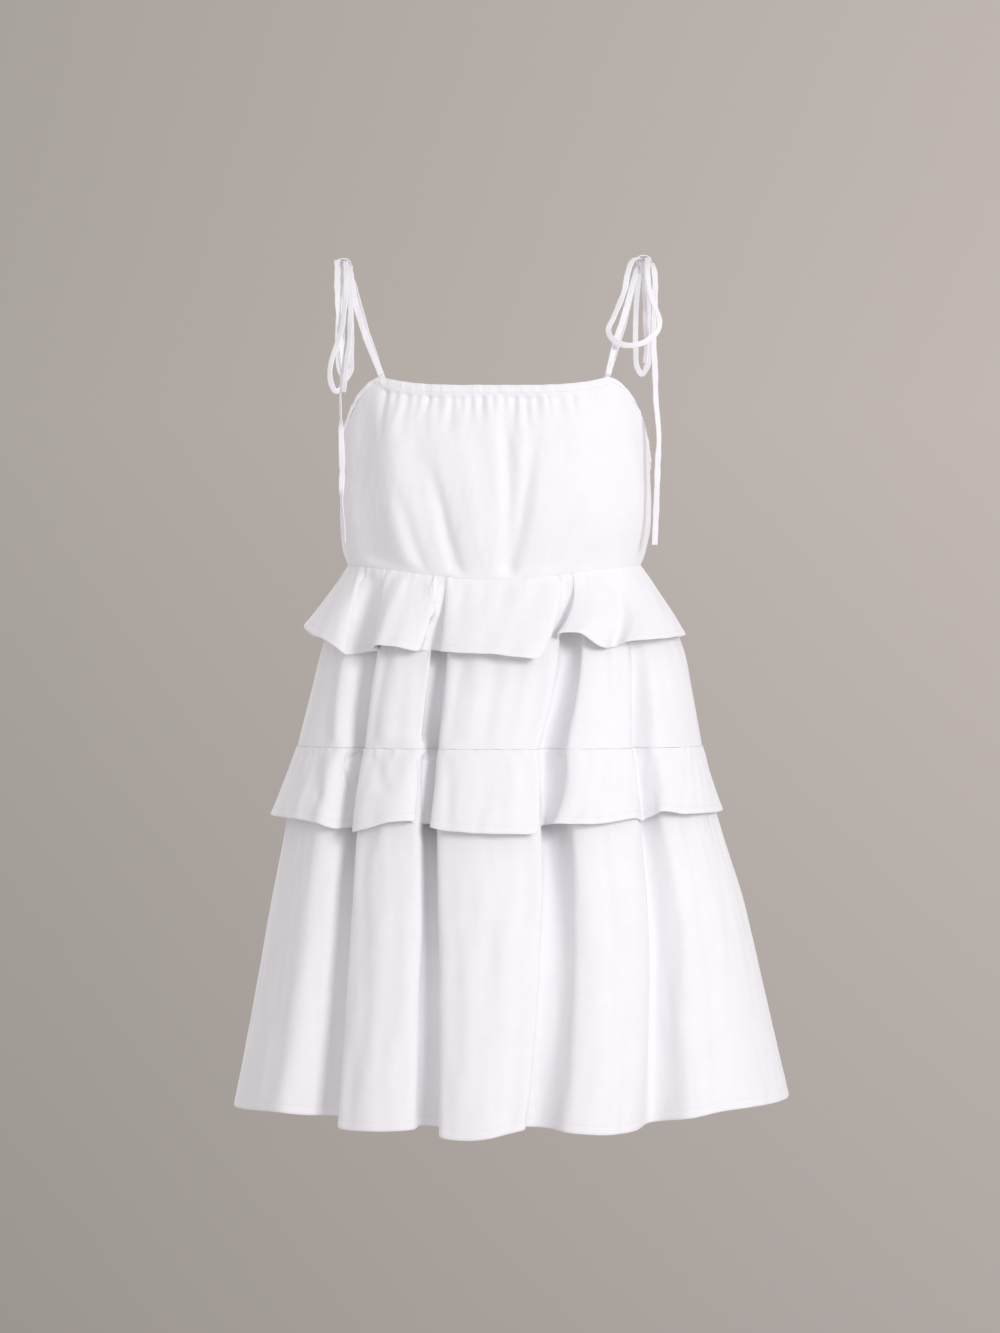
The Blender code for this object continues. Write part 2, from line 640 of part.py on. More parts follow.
def add_knots(material, collection):
    """The knot on top of each shoulder that holds a strap's two ribbons."""
    for name, centre in (("knot_left", LEFT_KNOT), ("knot_right", RIGHT_KNOT)):
        mesh = bpy.data.meshes.new(name)
        lump = bmesh.new()
        bmesh.ops.create_uvsphere(lump, u_segments=12, v_segments=8, radius=1)
        for vertex in lump.verts:
            power = sum(abs(c) ** KNOT_SQUARENESS for c in vertex.co)
            vertex.co *= power ** (-1 / KNOT_SQUARENESS)
        scale = Matrix.Diagonal(Vector(KNOT_RADII) * MM).to_4x4()
        lump.transform(Matrix.Translation(Vector(centre) * MM) @ scale)
        lump.to_mesh(mesh)
        lump.free()
        mesh.shade_smooth()
        add_object(name, mesh, material, collection)


def cotton():
    """Plain woven white cotton."""
    material = bpy.data.materials.new("white_cotton")
    material.use_nodes = True
    shader = material.node_tree.nodes["Principled BSDF"]
    shader.inputs["Base Color"].default_value = (0.9, 0.895, 0.9, 1)
    shader.inputs["Roughness"].default_value = 0.85
    shader.inputs["Metallic"].default_value = 0.0
    material.diffuse_color = (0.9, 0.895, 0.9, 1)
    return material


def main():
    for old in list(bpy.data.objects):
        bpy.data.objects.remove(old)
    collection = bpy.data.collections.new(COLLECTION)
    bpy.context.scene.collection.children.link(collection)
    cloth = cotton()
    add_bodice(cloth, collection)
    add_bands(cloth, collection)
    add_skirt(cloth, collection)
    add_ties(cloth, collection)
    add_knots(cloth, collection)


main()
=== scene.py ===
"""Looks of a white mini dress: gathered bodice, two skirt tiers, two ruffles, ribbons tied in bows.

The scene is in metres, the tables are in millimetres and degrees, in the part's own frame: +Z up,
front towards -Y, the origin midway between the tops of the shoulders. An angle goes round the
body: 0 at the centre front, 90 at the right side seam, 180 at the back. The cloth is thin shells
on the solids' form, worked out as whole grids.
"""

import logging
import math
from collections.abc import Sequence
from dataclasses import dataclass, field
from enum import Enum
from typing import NamedTuple

import bpy
import numpy as np
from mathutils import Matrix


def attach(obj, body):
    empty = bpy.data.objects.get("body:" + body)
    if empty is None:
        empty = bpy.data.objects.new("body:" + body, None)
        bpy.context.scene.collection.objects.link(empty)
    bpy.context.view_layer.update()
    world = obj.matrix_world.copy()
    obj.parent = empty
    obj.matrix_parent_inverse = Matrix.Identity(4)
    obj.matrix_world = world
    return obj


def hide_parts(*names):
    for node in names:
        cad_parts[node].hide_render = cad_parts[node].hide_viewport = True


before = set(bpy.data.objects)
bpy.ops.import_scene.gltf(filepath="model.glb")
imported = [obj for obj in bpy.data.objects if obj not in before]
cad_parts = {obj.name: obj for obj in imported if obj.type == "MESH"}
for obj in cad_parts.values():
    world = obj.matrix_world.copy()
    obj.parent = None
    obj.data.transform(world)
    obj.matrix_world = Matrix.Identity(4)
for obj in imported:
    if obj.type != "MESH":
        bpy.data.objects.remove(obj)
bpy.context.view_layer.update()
log = logging.getLogger("dress")

Array = np.ndarray
MM = 0.001
TURN = 360.0
TAU = 2 * math.pi

CLOTH = 0.6  # thickness of the woven cotton
HEM_CLOTH = 1.3  # three layers of it in a hem
SEAM_GAP = 0.3  # opening between the two panels at a side seam
SEWN_GAP = 0.15  # how far each edge stands back from a seam that runs round the body
TUCK = 1.9  # how far a tier starts inside the ruffle sewn into the same seam
SEWN_EDGE = 0.05  # how round an edge is that is sewn to the next piece
RUN_PER_DEGREE = 2.35  # length of the bodice's cloth in a degree round the body
COLUMN_RUN = 0.002  # cloth in a panel's last column, in metres
SIDE_RUN = 2.5  # the same close to its side seams

CORNER_Z = -115.0
CORNER_AT = 53.0
UNDERARM_Z = -190.0
FRONT_NECK_DIP = 10.0
BACK_NECK_DIP = 5.0
CASING_HEIGHT = 8.0
BINDING_HEIGHT = 5.0
WAIST_Z = -286.0
WAIST_FRONT_DIP = 17.0
TIER_Z = -456.0
HEM_Z = -791.0
PEPLUM_HEM_Z = -364.0
RUFFLE_HEM_Z = -522.0
MIDWAY_Z = -620.0  # level of the outline on which the columns are spaced


class Panel(Enum):
    """The two cut panels of a tube of cloth."""

    FRONT = "front"
    BACK = "back"


class Held(Enum):
    """How a sheet of cloth is held."""

    GATHERED = "gathered"
    FOLDED = "folded"


class FarEnd(Enum):
    """What a ribbon's far end is."""

    BARE = "bare"
    SEWN = "object"


class Lay(Enum):
    """How a ribbon lies."""

    TAUT = "taut"
    HANGING = "hanging"


# ---------------------------------------------------------------- curves


def smooth_curve(x: Sequence[float], y: Sequence[float], at: Array) -> Array:
    """The cubic curve through (x, y), each slope taken from its neighbours.

    Args:
        x: Rising places of the points.
        y: Their values.
        at: Places to read.

    Returns:
        The curve's values there.
    """
    x, y = np.asarray(x, float), np.asarray(y, float)
    slope = np.gradient(y, x)
    i = np.clip(np.searchsorted(x, at, side="right") - 1, 0, len(x) - 2)
    width = x[i + 1] - x[i]
    t = np.clip((at - x[i]) / width, 0.0, 1.0)
    start = (1 + 2 * t) * (1 - t) ** 2 * y[i] + t * (1 - t) ** 2 * width * slope[i]
    return start + t * t * (3 - 2 * t) * y[i + 1] + t * t * (t - 1) * width * slope[i + 1]


def smoothstep(t: Array) -> Array:
    """0 up to t = 0, 1 from t = 1, and an S between."""
    t = np.clip(t, 0.0, 1.0)
    return t * t * (3 - 2 * t)


def bell(t: Array) -> Array:
    """A soft bump, 1 at 0 and nearly nothing past 2."""
    return np.exp(-np.square(t))


def between(t: Array, start: float, end: float, soft: float) -> Array:
    """1 from start to end, falling softly to 0 outside them."""
    return smoothstep((t - start) / soft + 0.5) * smoothstep((end - t) / soft + 0.5)


def seeded_waves(
    seed: int, u: Array, v: Array, u_lengths: tuple[float, float], v_lengths: tuple[float, float],
    count: int = 14,
) -> Array:
    """Uneven soft relief: cosines of seeded lengths, slants and phases, added up.

    Args:
        seed: Seed of the drawing.
        u: Distance across the cloth.
        v: Distance down it.
        u_lengths: Shortest and longest wave across.
        v_lengths: Shortest and longest wave down.
        count: Number of waves.

    Returns:
        Relief with a spread of about 1.
    """
    draw = np.random.default_rng(seed)
    across = TAU / np.exp(draw.uniform(*np.log(u_lengths), count))
    down = TAU / np.exp(draw.uniform(*np.log(v_lengths), count)) * draw.choice([-1, 1], count)
    phase = draw.uniform(0, TAU, count)
    total = np.zeros(np.broadcast(u, v).shape)
    for a, d, p in zip(across, down, phase, strict=True):
        total += np.cos(a * u + d * v + p)
    return total * math.sqrt(2 / count)


def unit(vectors: Array) -> Array:
    """Vectors brought to length 1."""
    return vectors / np.linalg.norm(vectors, axis=-1, keepdims=True)


def lengths_along(points: Array, axis: int) -> Array:
    """Distance run along an axis of a grid of points, 0 at its start."""
    steps = np.linalg.norm(np.diff(points, axis=axis), axis=-1)
    pad = [(0, 0)] * steps.ndim
    pad[axis] = (1, 0)
    return np.cumsum(np.pad(steps, pad), axis=axis)


def grid_normals(points: Array, closed: bool) -> Array:
    """Outward unit normals of a grid: its step down crossed with its step round the body.

    Args:
        points: Rows from the top down, columns in the rising angle's direction.
        closed: Whether the last column meets the first.

    Returns:
        One normal for each point.
    """
    if closed:
        padded = np.concatenate([points[:, -1:], points, points[:, :1]], axis=1)
        across = padded[:, 2:] - padded[:, :-2]
    else:
        across = np.gradient(points, axis=1)
    normal = np.cross(np.gradient(points, axis=0), across)
    return normal / np.maximum(np.linalg.norm(normal, axis=-1, keepdims=True), 1e-9)


# ---------------------------------------------------------------- meshes


def quads_of(index: Array, closed_rows: bool = False, closed_columns: bool = False) -> Array:
    """Four-sided faces of a grid of vertex numbers, counted so that they face outwards."""
    if closed_rows:
        index = np.concatenate([index, index[:1]])
    if closed_columns:
        index = np.concatenate([index, index[:, :1]], axis=1)
    corners = index[:-1, :-1], index[1:, :-1], index[1:, 1:], index[:-1, 1:]
    return np.stack(corners, axis=-1).reshape(-1, 4)


def new_piece(
    name: str, vertices: Array, faces: Array, uv: Array | None = None, sharp: float = 180.0
) -> bpy.types.Object:
    """A mesh object from arrays, in the scene, smooth but for its sharp corners.

    Args:
        name: The piece's name.
        vertices: Points in millimetres.
        faces: Vertex numbers, four a face; a triangle repeats its last.
        uv: Place on the cloth of each vertex, in metres.
        sharp: Angle in degrees from which an edge is sharp.

    Returns:
        The object.
    """
    mesh = bpy.data.meshes.new(name)
    triangle = faces[:, 3] == faces[:, 2]
    order = np.argsort(triangle, kind="stable")
    faces, triangle = faces[order], triangle[order]
    kept = np.ones(faces.shape, bool)
    kept[triangle, 3] = False
    loops = faces[kept]
    mesh.vertices.add(len(vertices))
    mesh.vertices.foreach_set("co", (np.asarray(vertices) * MM).ravel())
    mesh.loops.add(len(loops))
    mesh.loops.foreach_set("vertex_index", loops)
    mesh.polygons.add(len(faces))
    starts = np.concatenate([[0], np.cumsum(4 - triangle[:-1])])
    mesh.polygons.foreach_set("loop_start", starts)
    mesh.update(calc_edges=True)
    if uv is not None:
        layer = mesh.uv_layers.new(name="cloth")
        layer.uv.foreach_set("vector", uv[loops].ravel())
    mesh.shade_smooth()
    if sharp < 180:
        mesh.set_sharp_from_angle(angle=math.radians(sharp))
    piece = bpy.data.objects.new(name, mesh)
    bpy.context.scene.collection.objects.link(piece)
    return piece


def thin_shell(
    name: str, outer: Array, inner: Array, uv: Array, rounded: float = 1.0
) -> bpy.types.Object:
    """A closed wall between an outer and an inner grid, its lower edge rounded.

    The grid goes down the outer side, round a row half a thickness below the edge, and up the
    inner side, and closes at the top; both ends are capped.

    Args:
        name: The piece's name.
        outer: Points of the outer side, rows from the top down.
        inner: Points of the inner side.
        uv: Place on the cloth of each point of a side, in metres.
        rounded: How round the lower edge is; near 0 where it is sewn to the next piece.

    Returns:
        The object.
    """
    rows, columns = outer.shape[:2]
    middle = (outer[-1] + inner[-1]) / 2
    down = unit(outer[-1] + inner[-1] - outer[-2] - inner[-2])
    half = np.linalg.norm(outer[-1] - inner[-1], axis=-1, keepdims=True) / 2 * rounded
    round_edge = (middle + down * half)[None]
    grid = np.concatenate([outer, round_edge, inner[::-1]])
    marks = np.concatenate([uv, uv[-1:], uv[::-1]])
    index = np.arange(grid.shape[0] * columns).reshape(-1, columns)
    faces = [quads_of(index, closed_rows=True)]
    far = index[::-1][:rows]
    near = index[:rows]
    for column, turned in ((0, False), (-1, True)):
        cap = np.stack([near[:, column], far[:, column]], axis=1)
        cap = quads_of(cap[:, ::-1] if not turned else cap)
        tip = index[rows, column]
        end = [near[-1, column], tip, far[-1, column], far[-1, column]]
        if not turned:
            end = [far[-1, column], tip, near[-1, column], near[-1, column]]
        faces += [cap, np.array([end])]
    return new_piece(
        name, grid.reshape(-1, 3), np.concatenate(faces), marks.reshape(-1, 2), sharp=50
    )


def dress_piece(
    piece: bpy.types.Object, material: bpy.types.Material, replaces: Sequence[str] = ()
) -> bpy.types.Object:
    """Gives a piece its material and body, and has it stand for CAD nodes."""
    piece.data.materials.append(material)
    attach(piece, "root")
    if replaces:
        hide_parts(*replaces)
    log.info("%s: %d faces", piece.name, len(piece.data.polygons))
    return piece


# ---------------------------------------------------------------- finishes


class Nodes:
    """A node tree's short hand: adds nodes, links them and sets their values."""

    def __init__(self, tree: bpy.types.NodeTree) -> None:
        """Keeps the tree."""
        self.tree = tree

    def add(self, kind: str, **inputs: object) -> bpy.types.Node:
        """A new node of a kind. Inputs are values or sockets, named by the socket or in_N.

        Args:
            kind: The node's type without its ShaderNode prefix, or its type and operation.
            **inputs: What goes into its sockets.

        Returns:
            The node.
        """
        name, _, operation = kind.partition(":")
        node = self.tree.nodes.new(name if name.startswith("NodeGroup") else f"ShaderNode{name}")
        if operation:
            node.operation = operation
        for key, value in inputs.items():
            place = int(key[3:]) if key.startswith("in_") else key
            if isinstance(value, bpy.types.NodeSocket):
                self.tree.links.new(value, node.inputs[place])
            else:
                node.inputs[place].default_value = value
        return node

    @property
    def shader(self) -> bpy.types.Node:
        """The material's Principled BSDF."""
        return self.tree.nodes["Principled BSDF"]

    def feed(self, key: str, socket: bpy.types.NodeSocket) -> None:
        """Links a socket to an input of the shader."""
        self.tree.links.new(socket, self.shader.inputs[key])

    def math(self, operation: str, a: object, b: object = 0.0) -> bpy.types.NodeSocket:
        """The result of a Math node."""
        return self.add(f"Math:{operation}", in_0=a, in_1=b).outputs[0]


def new_finish(name: str, values: dict[str, float]) -> tuple[bpy.types.Material, Nodes]:
    """A material with these values in its Principled BSDF, and its nodes' short hand."""
    material = bpy.data.materials.new(name)
    material.use_nodes = True
    n = Nodes(material.node_tree)
    for key, value in values.items():
        n.shader.inputs[key].default_value = value
    return material, n


@dataclass(frozen=True)
class Weave:
    """Plain weave drawn along a piece's own cloth map, shared by every cotton finish.

    The relief is the product of a wave for the warp and one for the weft. Noise stretched along
    either thread gives the slubs, and wide noise the cloth's slow changes of tone.
    """

    pitch: float = 0.00056
    slub_length: float = 0.02
    slub_width: float = 0.0006
    wide_scale: float = 38.0
    slub_tone: float = 0.3
    wide_tone: float = 0.4
    thread_height: float = 0.22
    slub_height: float = 0.4

    def group(self) -> bpy.types.NodeTree:
        """The node group, with outputs Tone (about 0.5) and Height (0 to 1)."""
        found = bpy.data.node_groups.get("plain_weave")
        if found:
            return found
        tree = bpy.data.node_groups.new("plain_weave", "ShaderNodeTree")
        for name in ("Tone", "Height"):
            tree.interface.new_socket(name, in_out="OUTPUT", socket_type="NodeSocketFloat")
        n = Nodes(tree)
        place = n.add("UVMap")
        place.uv_map = "cloth"
        split = n.add("SeparateXYZ", Vector=place.outputs[0])
        wave = [
            n.math("SINE", n.math("MULTIPLY", split.outputs[k], TAU / 2 / self.pitch))
            for k in (0, 1)
        ]
        weave = n.math("MULTIPLY", *wave)
        slubs = []
        for along, across in ((1, 0), (0, 1)):
            scale = [0.0, 0.0, 1.0]
            scale[along], scale[across] = 1 / self.slub_length, 1 / self.slub_width / 2
            stretched = n.add("VectorMath:MULTIPLY", in_0=place.outputs[0], in_1=scale)
            noise = n.add("TexNoise", Vector=stretched.outputs[0], Scale=1.0, Detail=2.0)
            slubs.append(noise.outputs["Fac"])
        slub = n.math("ADD", *slubs)
        wide = n.add("TexNoise", Vector=place.outputs[0], Scale=self.wide_scale, Detail=3.0)
        tone = n.math(
            "ADD", n.math("MULTIPLY", slub, self.slub_tone),
            n.math("MULTIPLY", wide.outputs["Fac"], self.wide_tone),
        )
        height = n.math(
            "ADD", n.math("MULTIPLY", weave, self.thread_height),
            n.math("MULTIPLY", slub, self.slub_height),
        )
        out = tree.nodes.new("NodeGroupOutput")
        tree.links.new(tone, out.inputs["Tone"])
        tree.links.new(height, out.inputs["Height"])
        return tree


@dataclass(frozen=True)
class Cotton:
    """White woven cotton: nearly white, matt, a little fuzz at grazing angles."""

    name: str = "white_cotton"
    light: tuple[float, float, float] = (0.915, 0.905, 0.926)
    dark: tuple[float, float, float] = (0.882, 0.872, 0.892)
    roughness: float = 0.86
    sheen: float = 0.12
    relief: float = 0.0004
    strength: float = 0.2

    def material(self) -> bpy.types.Material:
        """The finish as a material."""
        material, n = new_finish(self.name, {
            "Roughness": self.roughness, "Sheen Weight": self.sheen, "Sheen Roughness": 0.5,
        })
        weave = n.add("Group")
        weave.node_tree = Weave().group()
        ramp = n.add("MapRange", Value=weave.outputs["Tone"], in_1=0.35, in_2=0.65)
        mix = n.add("MixRGB", Fac=ramp.outputs[0], Color1=(*self.dark, 1), Color2=(*self.light, 1))
        bump = n.add("Bump", Height=weave.outputs["Height"], Strength=self.strength)
        bump.inputs["Distance"].default_value = self.relief
        n.feed("Base Color", mix.outputs[0])
        n.feed("Normal", bump.outputs[0])
        material.diffuse_color = (*self.light, 1)
        return material


@dataclass(frozen=True)
class Thread:
    """Twisted white sewing thread: fine slanting ply lines along each stitch, with painted shade in
    the grooves between the plies.
    """

    name: str = "white_thread"
    colour: tuple[float, float, float] = (0.9, 0.89, 0.91)
    # colour of the painted shade in the grooves between the plies
    hollow: tuple[float, float, float] = (0.8, 0.79, 0.81)

    def material(self) -> bpy.types.Material:
        """The finish as a material."""
        material, n = new_finish(self.name, {"Roughness": 0.6, "Sheen Weight": 0.2})
        place = n.add("TexCoord").outputs["Object"]
        ply = n.add("TexWave", Vector=place, Scale=900.0, Distortion=2.0, Detail=1.0)
        ply.bands_direction = "DIAGONAL"
        # painted shade: the ply's grooves are darkened in step with its bump
        mix = n.add(
            "MixRGB", Fac=ply.outputs["Fac"], Color1=(*self.hollow, 1), Color2=(*self.colour, 1)
        )
        bump = n.add("Bump", Height=ply.outputs["Fac"], Strength=0.4, Distance=0.0001)
        n.feed("Base Color", mix.outputs[0])
        n.feed("Normal", bump.outputs[0])
        return material


@dataclass(frozen=True)
class StudioFloor:
    """Pale matt studio floor that fades out towards its rim."""

    colour: tuple[float, float, float] = (0.50, 0.475, 0.455)
    fade_from: float = 0.85
    fade_to: float = 1.3

    def material(self) -> bpy.types.Material:
        """The finish as a material."""
        material, n = new_finish("studio_floor", {"Roughness": 0.9})
        place = n.add("TexCoord").outputs["Object"]
        flat = n.add("VectorMath:MULTIPLY", in_0=place, in_1=(1, 1, 0))
        radius = n.add("VectorMath:LENGTH", in_0=flat.outputs[0]).outputs["Value"]
        fade = n.add("MapRange", Value=radius, in_1=self.fade_from, in_2=self.fade_to)
        fade.interpolation_type = "SMOOTHSTEP"
        alpha = n.math("SUBTRACT", 1.0, fade.outputs[0])
        speck = n.add("TexNoise", Vector=place, Scale=60.0, Detail=4.0)
        mix = n.add(
            "MixRGB", Fac=speck.outputs["Fac"], Color1=(*(c * 0.97 for c in self.colour), 1),
            Color2=(*(c * 1.03 for c in self.colour), 1),
        )
        n.feed("Base Color", mix.outputs[0])
        n.feed("Alpha", alpha)
        return material


# ---------------------------------------------------------------- studio


class Lamp(NamedTuple):
    """A soft square light: where it stands round the dress, its size, power and colour."""

    name: str
    azimuth: float
    elevation: float
    distance: float
    size: float
    power: float
    colour: tuple[float, float, float]


@dataclass
class Studio:
    """Camera at the photograph's place, soft lights, a plain ground and a pale floor."""

    camera_at: tuple[float, float, float] = (0.0, -2.5, -0.394)
    lens: float = 71.07
    sensor: float = 36.0
    shift: tuple[float, float] = (5.5 / 1333, 13.5 / 1333)
    aim_z: float = -0.42
    floor_z: float = -1.38
    ground_left: tuple[float, float, float] = (0.405, 0.372, 0.345)
    ground_right: tuple[float, float, float] = (0.545, 0.488, 0.462)
    ground_low: float = 0.80
    ground_high: float = 0.95
    ground_across: tuple[float, float] = (-0.2, 0.2)
    ground_levels: tuple[float, float, float] = (-0.26, 0.1, 0.3)
    ambient: tuple[float, float, float] = (0.66, 0.64, 0.655)
    lamps: tuple[Lamp, ...] = (
        Lamp("key", 31, 13, 3.4, 0.9, 46.5, (0.99, 0.98, 1.0)),
        Lamp("side", 72, 18, 3.2, 1.4, 2.5, (1.0, 0.985, 1.0)),
        Lamp("low", -35, -18, 2.6, 1.4, 1.5, (0.99, 0.98, 1.0)),
        Lamp("back", 195, 22, 3.4, 1.6, 36, (1.0, 0.99, 0.98)),
    )

    def place_camera(self) -> bpy.types.Object:
        """The camera, level, with the photograph's framing."""
        data = bpy.data.cameras.new("camera")
        data.lens, data.sensor_width = self.lens, self.sensor
        data.shift_x, data.shift_y = self.shift
        camera = bpy.data.objects.new("camera", data)
        camera.location = self.camera_at
        camera.rotation_euler = (math.pi / 2, 0, 0)
        bpy.context.scene.collection.objects.link(camera)
        bpy.context.scene.camera = camera
        return camera

    def place_lamps(self) -> None:
        """Every lamp on its azimuth and elevation, turned to the dress, unseen itself."""
        for lamp in self.lamps:
            data = bpy.data.lights.new(lamp.name, "AREA")
            data.shape, data.size = "SQUARE", lamp.size
            data.energy, data.color = lamp.power, lamp.colour
            light = bpy.data.objects.new(lamp.name, data)
            a, e = math.radians(lamp.azimuth), math.radians(lamp.elevation)
            out = np.array([math.sin(a) * math.cos(e), -math.cos(a) * math.cos(e), math.sin(e)])
            light.location = out * lamp.distance + (0, 0, self.aim_z)
            light.rotation_euler = (math.pi / 2 - e, 0, a)
            light.visible_camera = False
            bpy.context.scene.collection.objects.link(light)

    def paint_ground(self) -> None:
        """The ground seen, in two blended tones, and an even light all round."""
        world = bpy.data.worlds.new("studio")
        world.use_nodes = True
        n = Nodes(world.node_tree)
        ground = world.node_tree.nodes["Background"]
        place = n.add("SeparateXYZ", Vector=n.add("TexCoord").outputs["Generated"])
        left, right = self.ground_across
        across = n.add("MapRange", Value=place.outputs["X"], in_1=left, in_2=right)
        tone = n.add(
            "MixRGB", Fac=across.outputs[0], Color1=(*self.ground_left, 1),
            Color2=(*self.ground_right, 1),
        )
        low, middle, top = self.ground_levels
        up, high = (
            n.add("MapRange", Value=place.outputs["Z"], in_1=a, in_2=b, in_3=start, in_4=end)
            for a, b, start, end in (
                (low, middle, self.ground_low, 1.0), (middle, top, 1.0, self.ground_high),
            )
        )
        shade = n.math("MULTIPLY", up.outputs[0], high.outputs[0])
        seen = n.add("VectorMath:SCALE", in_0=tone.outputs[0], Scale=shade)
        colour = n.add(
            "MixRGB", Fac=n.add("LightPath").outputs["Is Camera Ray"], Color1=(*self.ambient, 1),
            Color2=seen.outputs[0],
        )
        world.node_tree.links.new(colour.outputs[0], ground.inputs["Color"])
        bpy.context.scene.world = world

    def lay_floor(self) -> None:
        """A round pale floor under the dress, rings of faces out from the middle."""
        rings, spokes = 14, 64
        radius = np.linspace(0.02, StudioFloor.fade_to, rings)[:, None] / MM
        angle = np.linspace(0, TAU, spokes, endpoint=False)[None, :]
        height = np.full((rings, spokes), self.floor_z / MM)
        points = np.stack([radius * np.cos(angle), radius * np.sin(angle), height], axis=-1)
        index = np.arange(rings * spokes).reshape(rings, spokes)
        middle = np.array([[0, 0, self.floor_z / MM]])
        turned = np.roll(index[0], -1)
        fan = np.stack([np.full(spokes, index.size), index[0], turned, turned], axis=1)
        faces = np.concatenate([quads_of(index, closed_columns=True), fan])
        floor = new_piece("studio_floor", np.concatenate([points.reshape(-1, 3), middle]), faces)
        floor.data.materials.append(StudioFloor().material())

    def build(self) -> None:
        """Lights, ground and floor, and colours shown as they are."""
        self.place_lamps()
        self.paint_ground()
        self.lay_floor()
        bpy.context.scene.view_settings.view_transform = "Standard"


# ---------------------------------------------------------------- ribbons and knots

ROUTES: dict[str, tuple[tuple[float, float, float], ...]] = {
    "strap_front_left": (
        (-140, -9, -5), (-136, -22, -12), (-132.5, -36, -28), (-128.5, -49, -47), (-118, -65, -80),
        (-104.5, -79.5, -113),
    ),
    "strap_back_left": (
        (-140, 9, -5), (-136, 22, -12), (-131, 38, -30), (-125, 51, -52), (-115, 63, -82),
        (-105, 73.5, -113),
    ),
    "bow_loop_front_left": (
        (-141, -9, 2), (-139.5, -29, -8), (-138, -48, -27), (-139, -61, -50), (-141.5, -68, -71),
        (-145.5, -70, -84), (-149.5, -71, -96), (-152, -71.5, -110), (-150.5, -71.5, -121),
        (-146.5, -71.5, -127.5), (-142, -71, -126), (-139.5, -69, -116), (-140, -67, -102),
        (-142, -64, -85), (-144, -60, -63), (-146, -51, -40), (-147.5, -31, -11), (-148, -9, 3),
    ),
    "bow_loop_back_left": (
        (-148, 9, 2), (-148.5, 27, -8), (-150, 45, -28), (-152, 57, -52), (-152.5, 64, -78),
        (-150, 67, -94), (-145.5, 68, -100), (-141, 67, -94), (-139.5, 63, -76), (-139, 56, -50),
        (-139.5, 44, -26), (-140.5, 27, -8), (-141, 9, 2),
    ),
    "tie_tail_long_left": (
        (-145.5, -9, -1.5), (-143, -27, -11), (-142, -39, -28), (-142, -47, -50), (-142, -51, -74),
        (-142.5, -55, -102), (-143, -60, -130), (-142, -64, -163), (-141, -66, -202),
        (-141.5, -66, -223), (-140, -66, -244), (-139, -66, -267),
    ),
    "tie_tail_short_left": (
        (-138, -9, -1.5), (-135.5, -26, -10.5), (-133.5, -40.5, -27), (-133.5, -52, -45),
        (-134, -58, -62), (-134.5, -66, -82), (-136.5, -72, -100), (-138, -75, -117),
        (-139, -76, -129),
    ),
    "strap_front_right": (
        (138, -9, -2), (134, -22, -9), (129, -36, -24), (124, -49, -43), (118.5, -58, -61),
        (111.5, -68, -83), (104.5, -79.5, -113),
    ),
    "strap_back_right": (
        (138, 9, -2), (134, 22, -9), (130, 38, -28), (124.5, 51, -52), (115, 63, -82),
        (105, 73.5, -113),
    ),
    "bow_loop_front_right": (
        (137, -9, 5), (130.5, -22, 1.5), (124.5, -38, -14), (121, -50, -31), (115, -59, -47),
        (109.5, -66, -60), (105, -72, -71), (107.5, -77, -79), (116, -80, -85), (125, -81, -86.5),
        (135, -80, -84.5), (144, -77, -79), (151, -72, -71), (152.5, -66, -61), (150, -60, -51),
        (146, -54, -38), (143.5, -44, -22), (143.5, -28, -3), (144.5, -9, 5.5),
    ),
    "bow_loop_back_right": (
        (138.5, 9, 5), (138.5, 27, -5), (137.5, 44, -23), (137, 56, -47), (137.5, 63, -73),
        (139.5, 67, -90), (143.5, 68, -96), (148, 67, -90), (150.5, 64, -74), (150, 57, -48),
        (148, 45, -24), (146.5, 27, -5), (145.5, 9, 5),
    ),
    "tie_tail_long_right": (
        (146.5, -9, 1), (149.5, -24, -6), (150.5, -35, -24), (149.5, -42, -45), (148, -47, -64),
        (148, -52, -80), (149, -59, -110), (149.5, -64, -136), (151, -67, -154), (152, -68, -169),
        (151, -68, -191), (150, -68, -219), (149, -68, -246), (148, -68, -269),
    ),
    "tie_tail_short_right": (
        (139, -9, 1.2), (140, -23, -6), (140.5, -34, -24), (140.5, -44, -45), (140.5, -51, -62),
        (141, -56, -80), (140.5, -58, -92), (139.5, -59, -100),
    ),
}


class Turn(NamedTuple):
    """A twist of a ribbon: at what share of its length, over what share, by how many degrees."""

    at: float
    span: float
    degrees: float


TWISTS: dict[str, tuple[Turn, ...]] = {
    "tie_tail_long_left": (Turn(0.42, 0.05, 75), Turn(0.62, 0.06, -70), Turn(0.84, 0.05, 60)),
    "tie_tail_short_left": (Turn(0.5, 0.2, 30),),
    "tie_tail_long_right": (Turn(0.52, 0.08, -35), Turn(0.7, 0.08, 35)),
    "tie_tail_short_right": (Turn(0.4, 0.2, 40),),
    "bow_loop_front_left": (Turn(0.2, 0.1, 25), Turn(0.8, 0.1, -25)),
    "bow_loop_front_right": (Turn(0.25, 0.15, 20), Turn(0.85, 0.1, -30)),
}


def flat_section(
    width: float, thickness: float, powers: tuple[float, float], points: int
) -> tuple[Array, Array]:
    """The points round a flat oval with squared sides.

    They stand width times a power of the cosine's size across, and thickness times a power of
    the sine's size out. The lower the power, the squarer the side.

    Args:
        width: Its whole width.
        thickness: Its whole thickness.
        powers: The powers across and out.
        points: How many points it has.

    Returns:
        Their offsets across and out.
    """
    around = np.linspace(0, TAU, points, endpoint=False)
    cos, sin = np.cos(around), np.sin(around)
    across = np.sign(cos) * np.abs(cos) ** powers[0] * width / 2
    return across, np.sign(sin) * np.abs(sin) ** powers[1] * thickness / 2


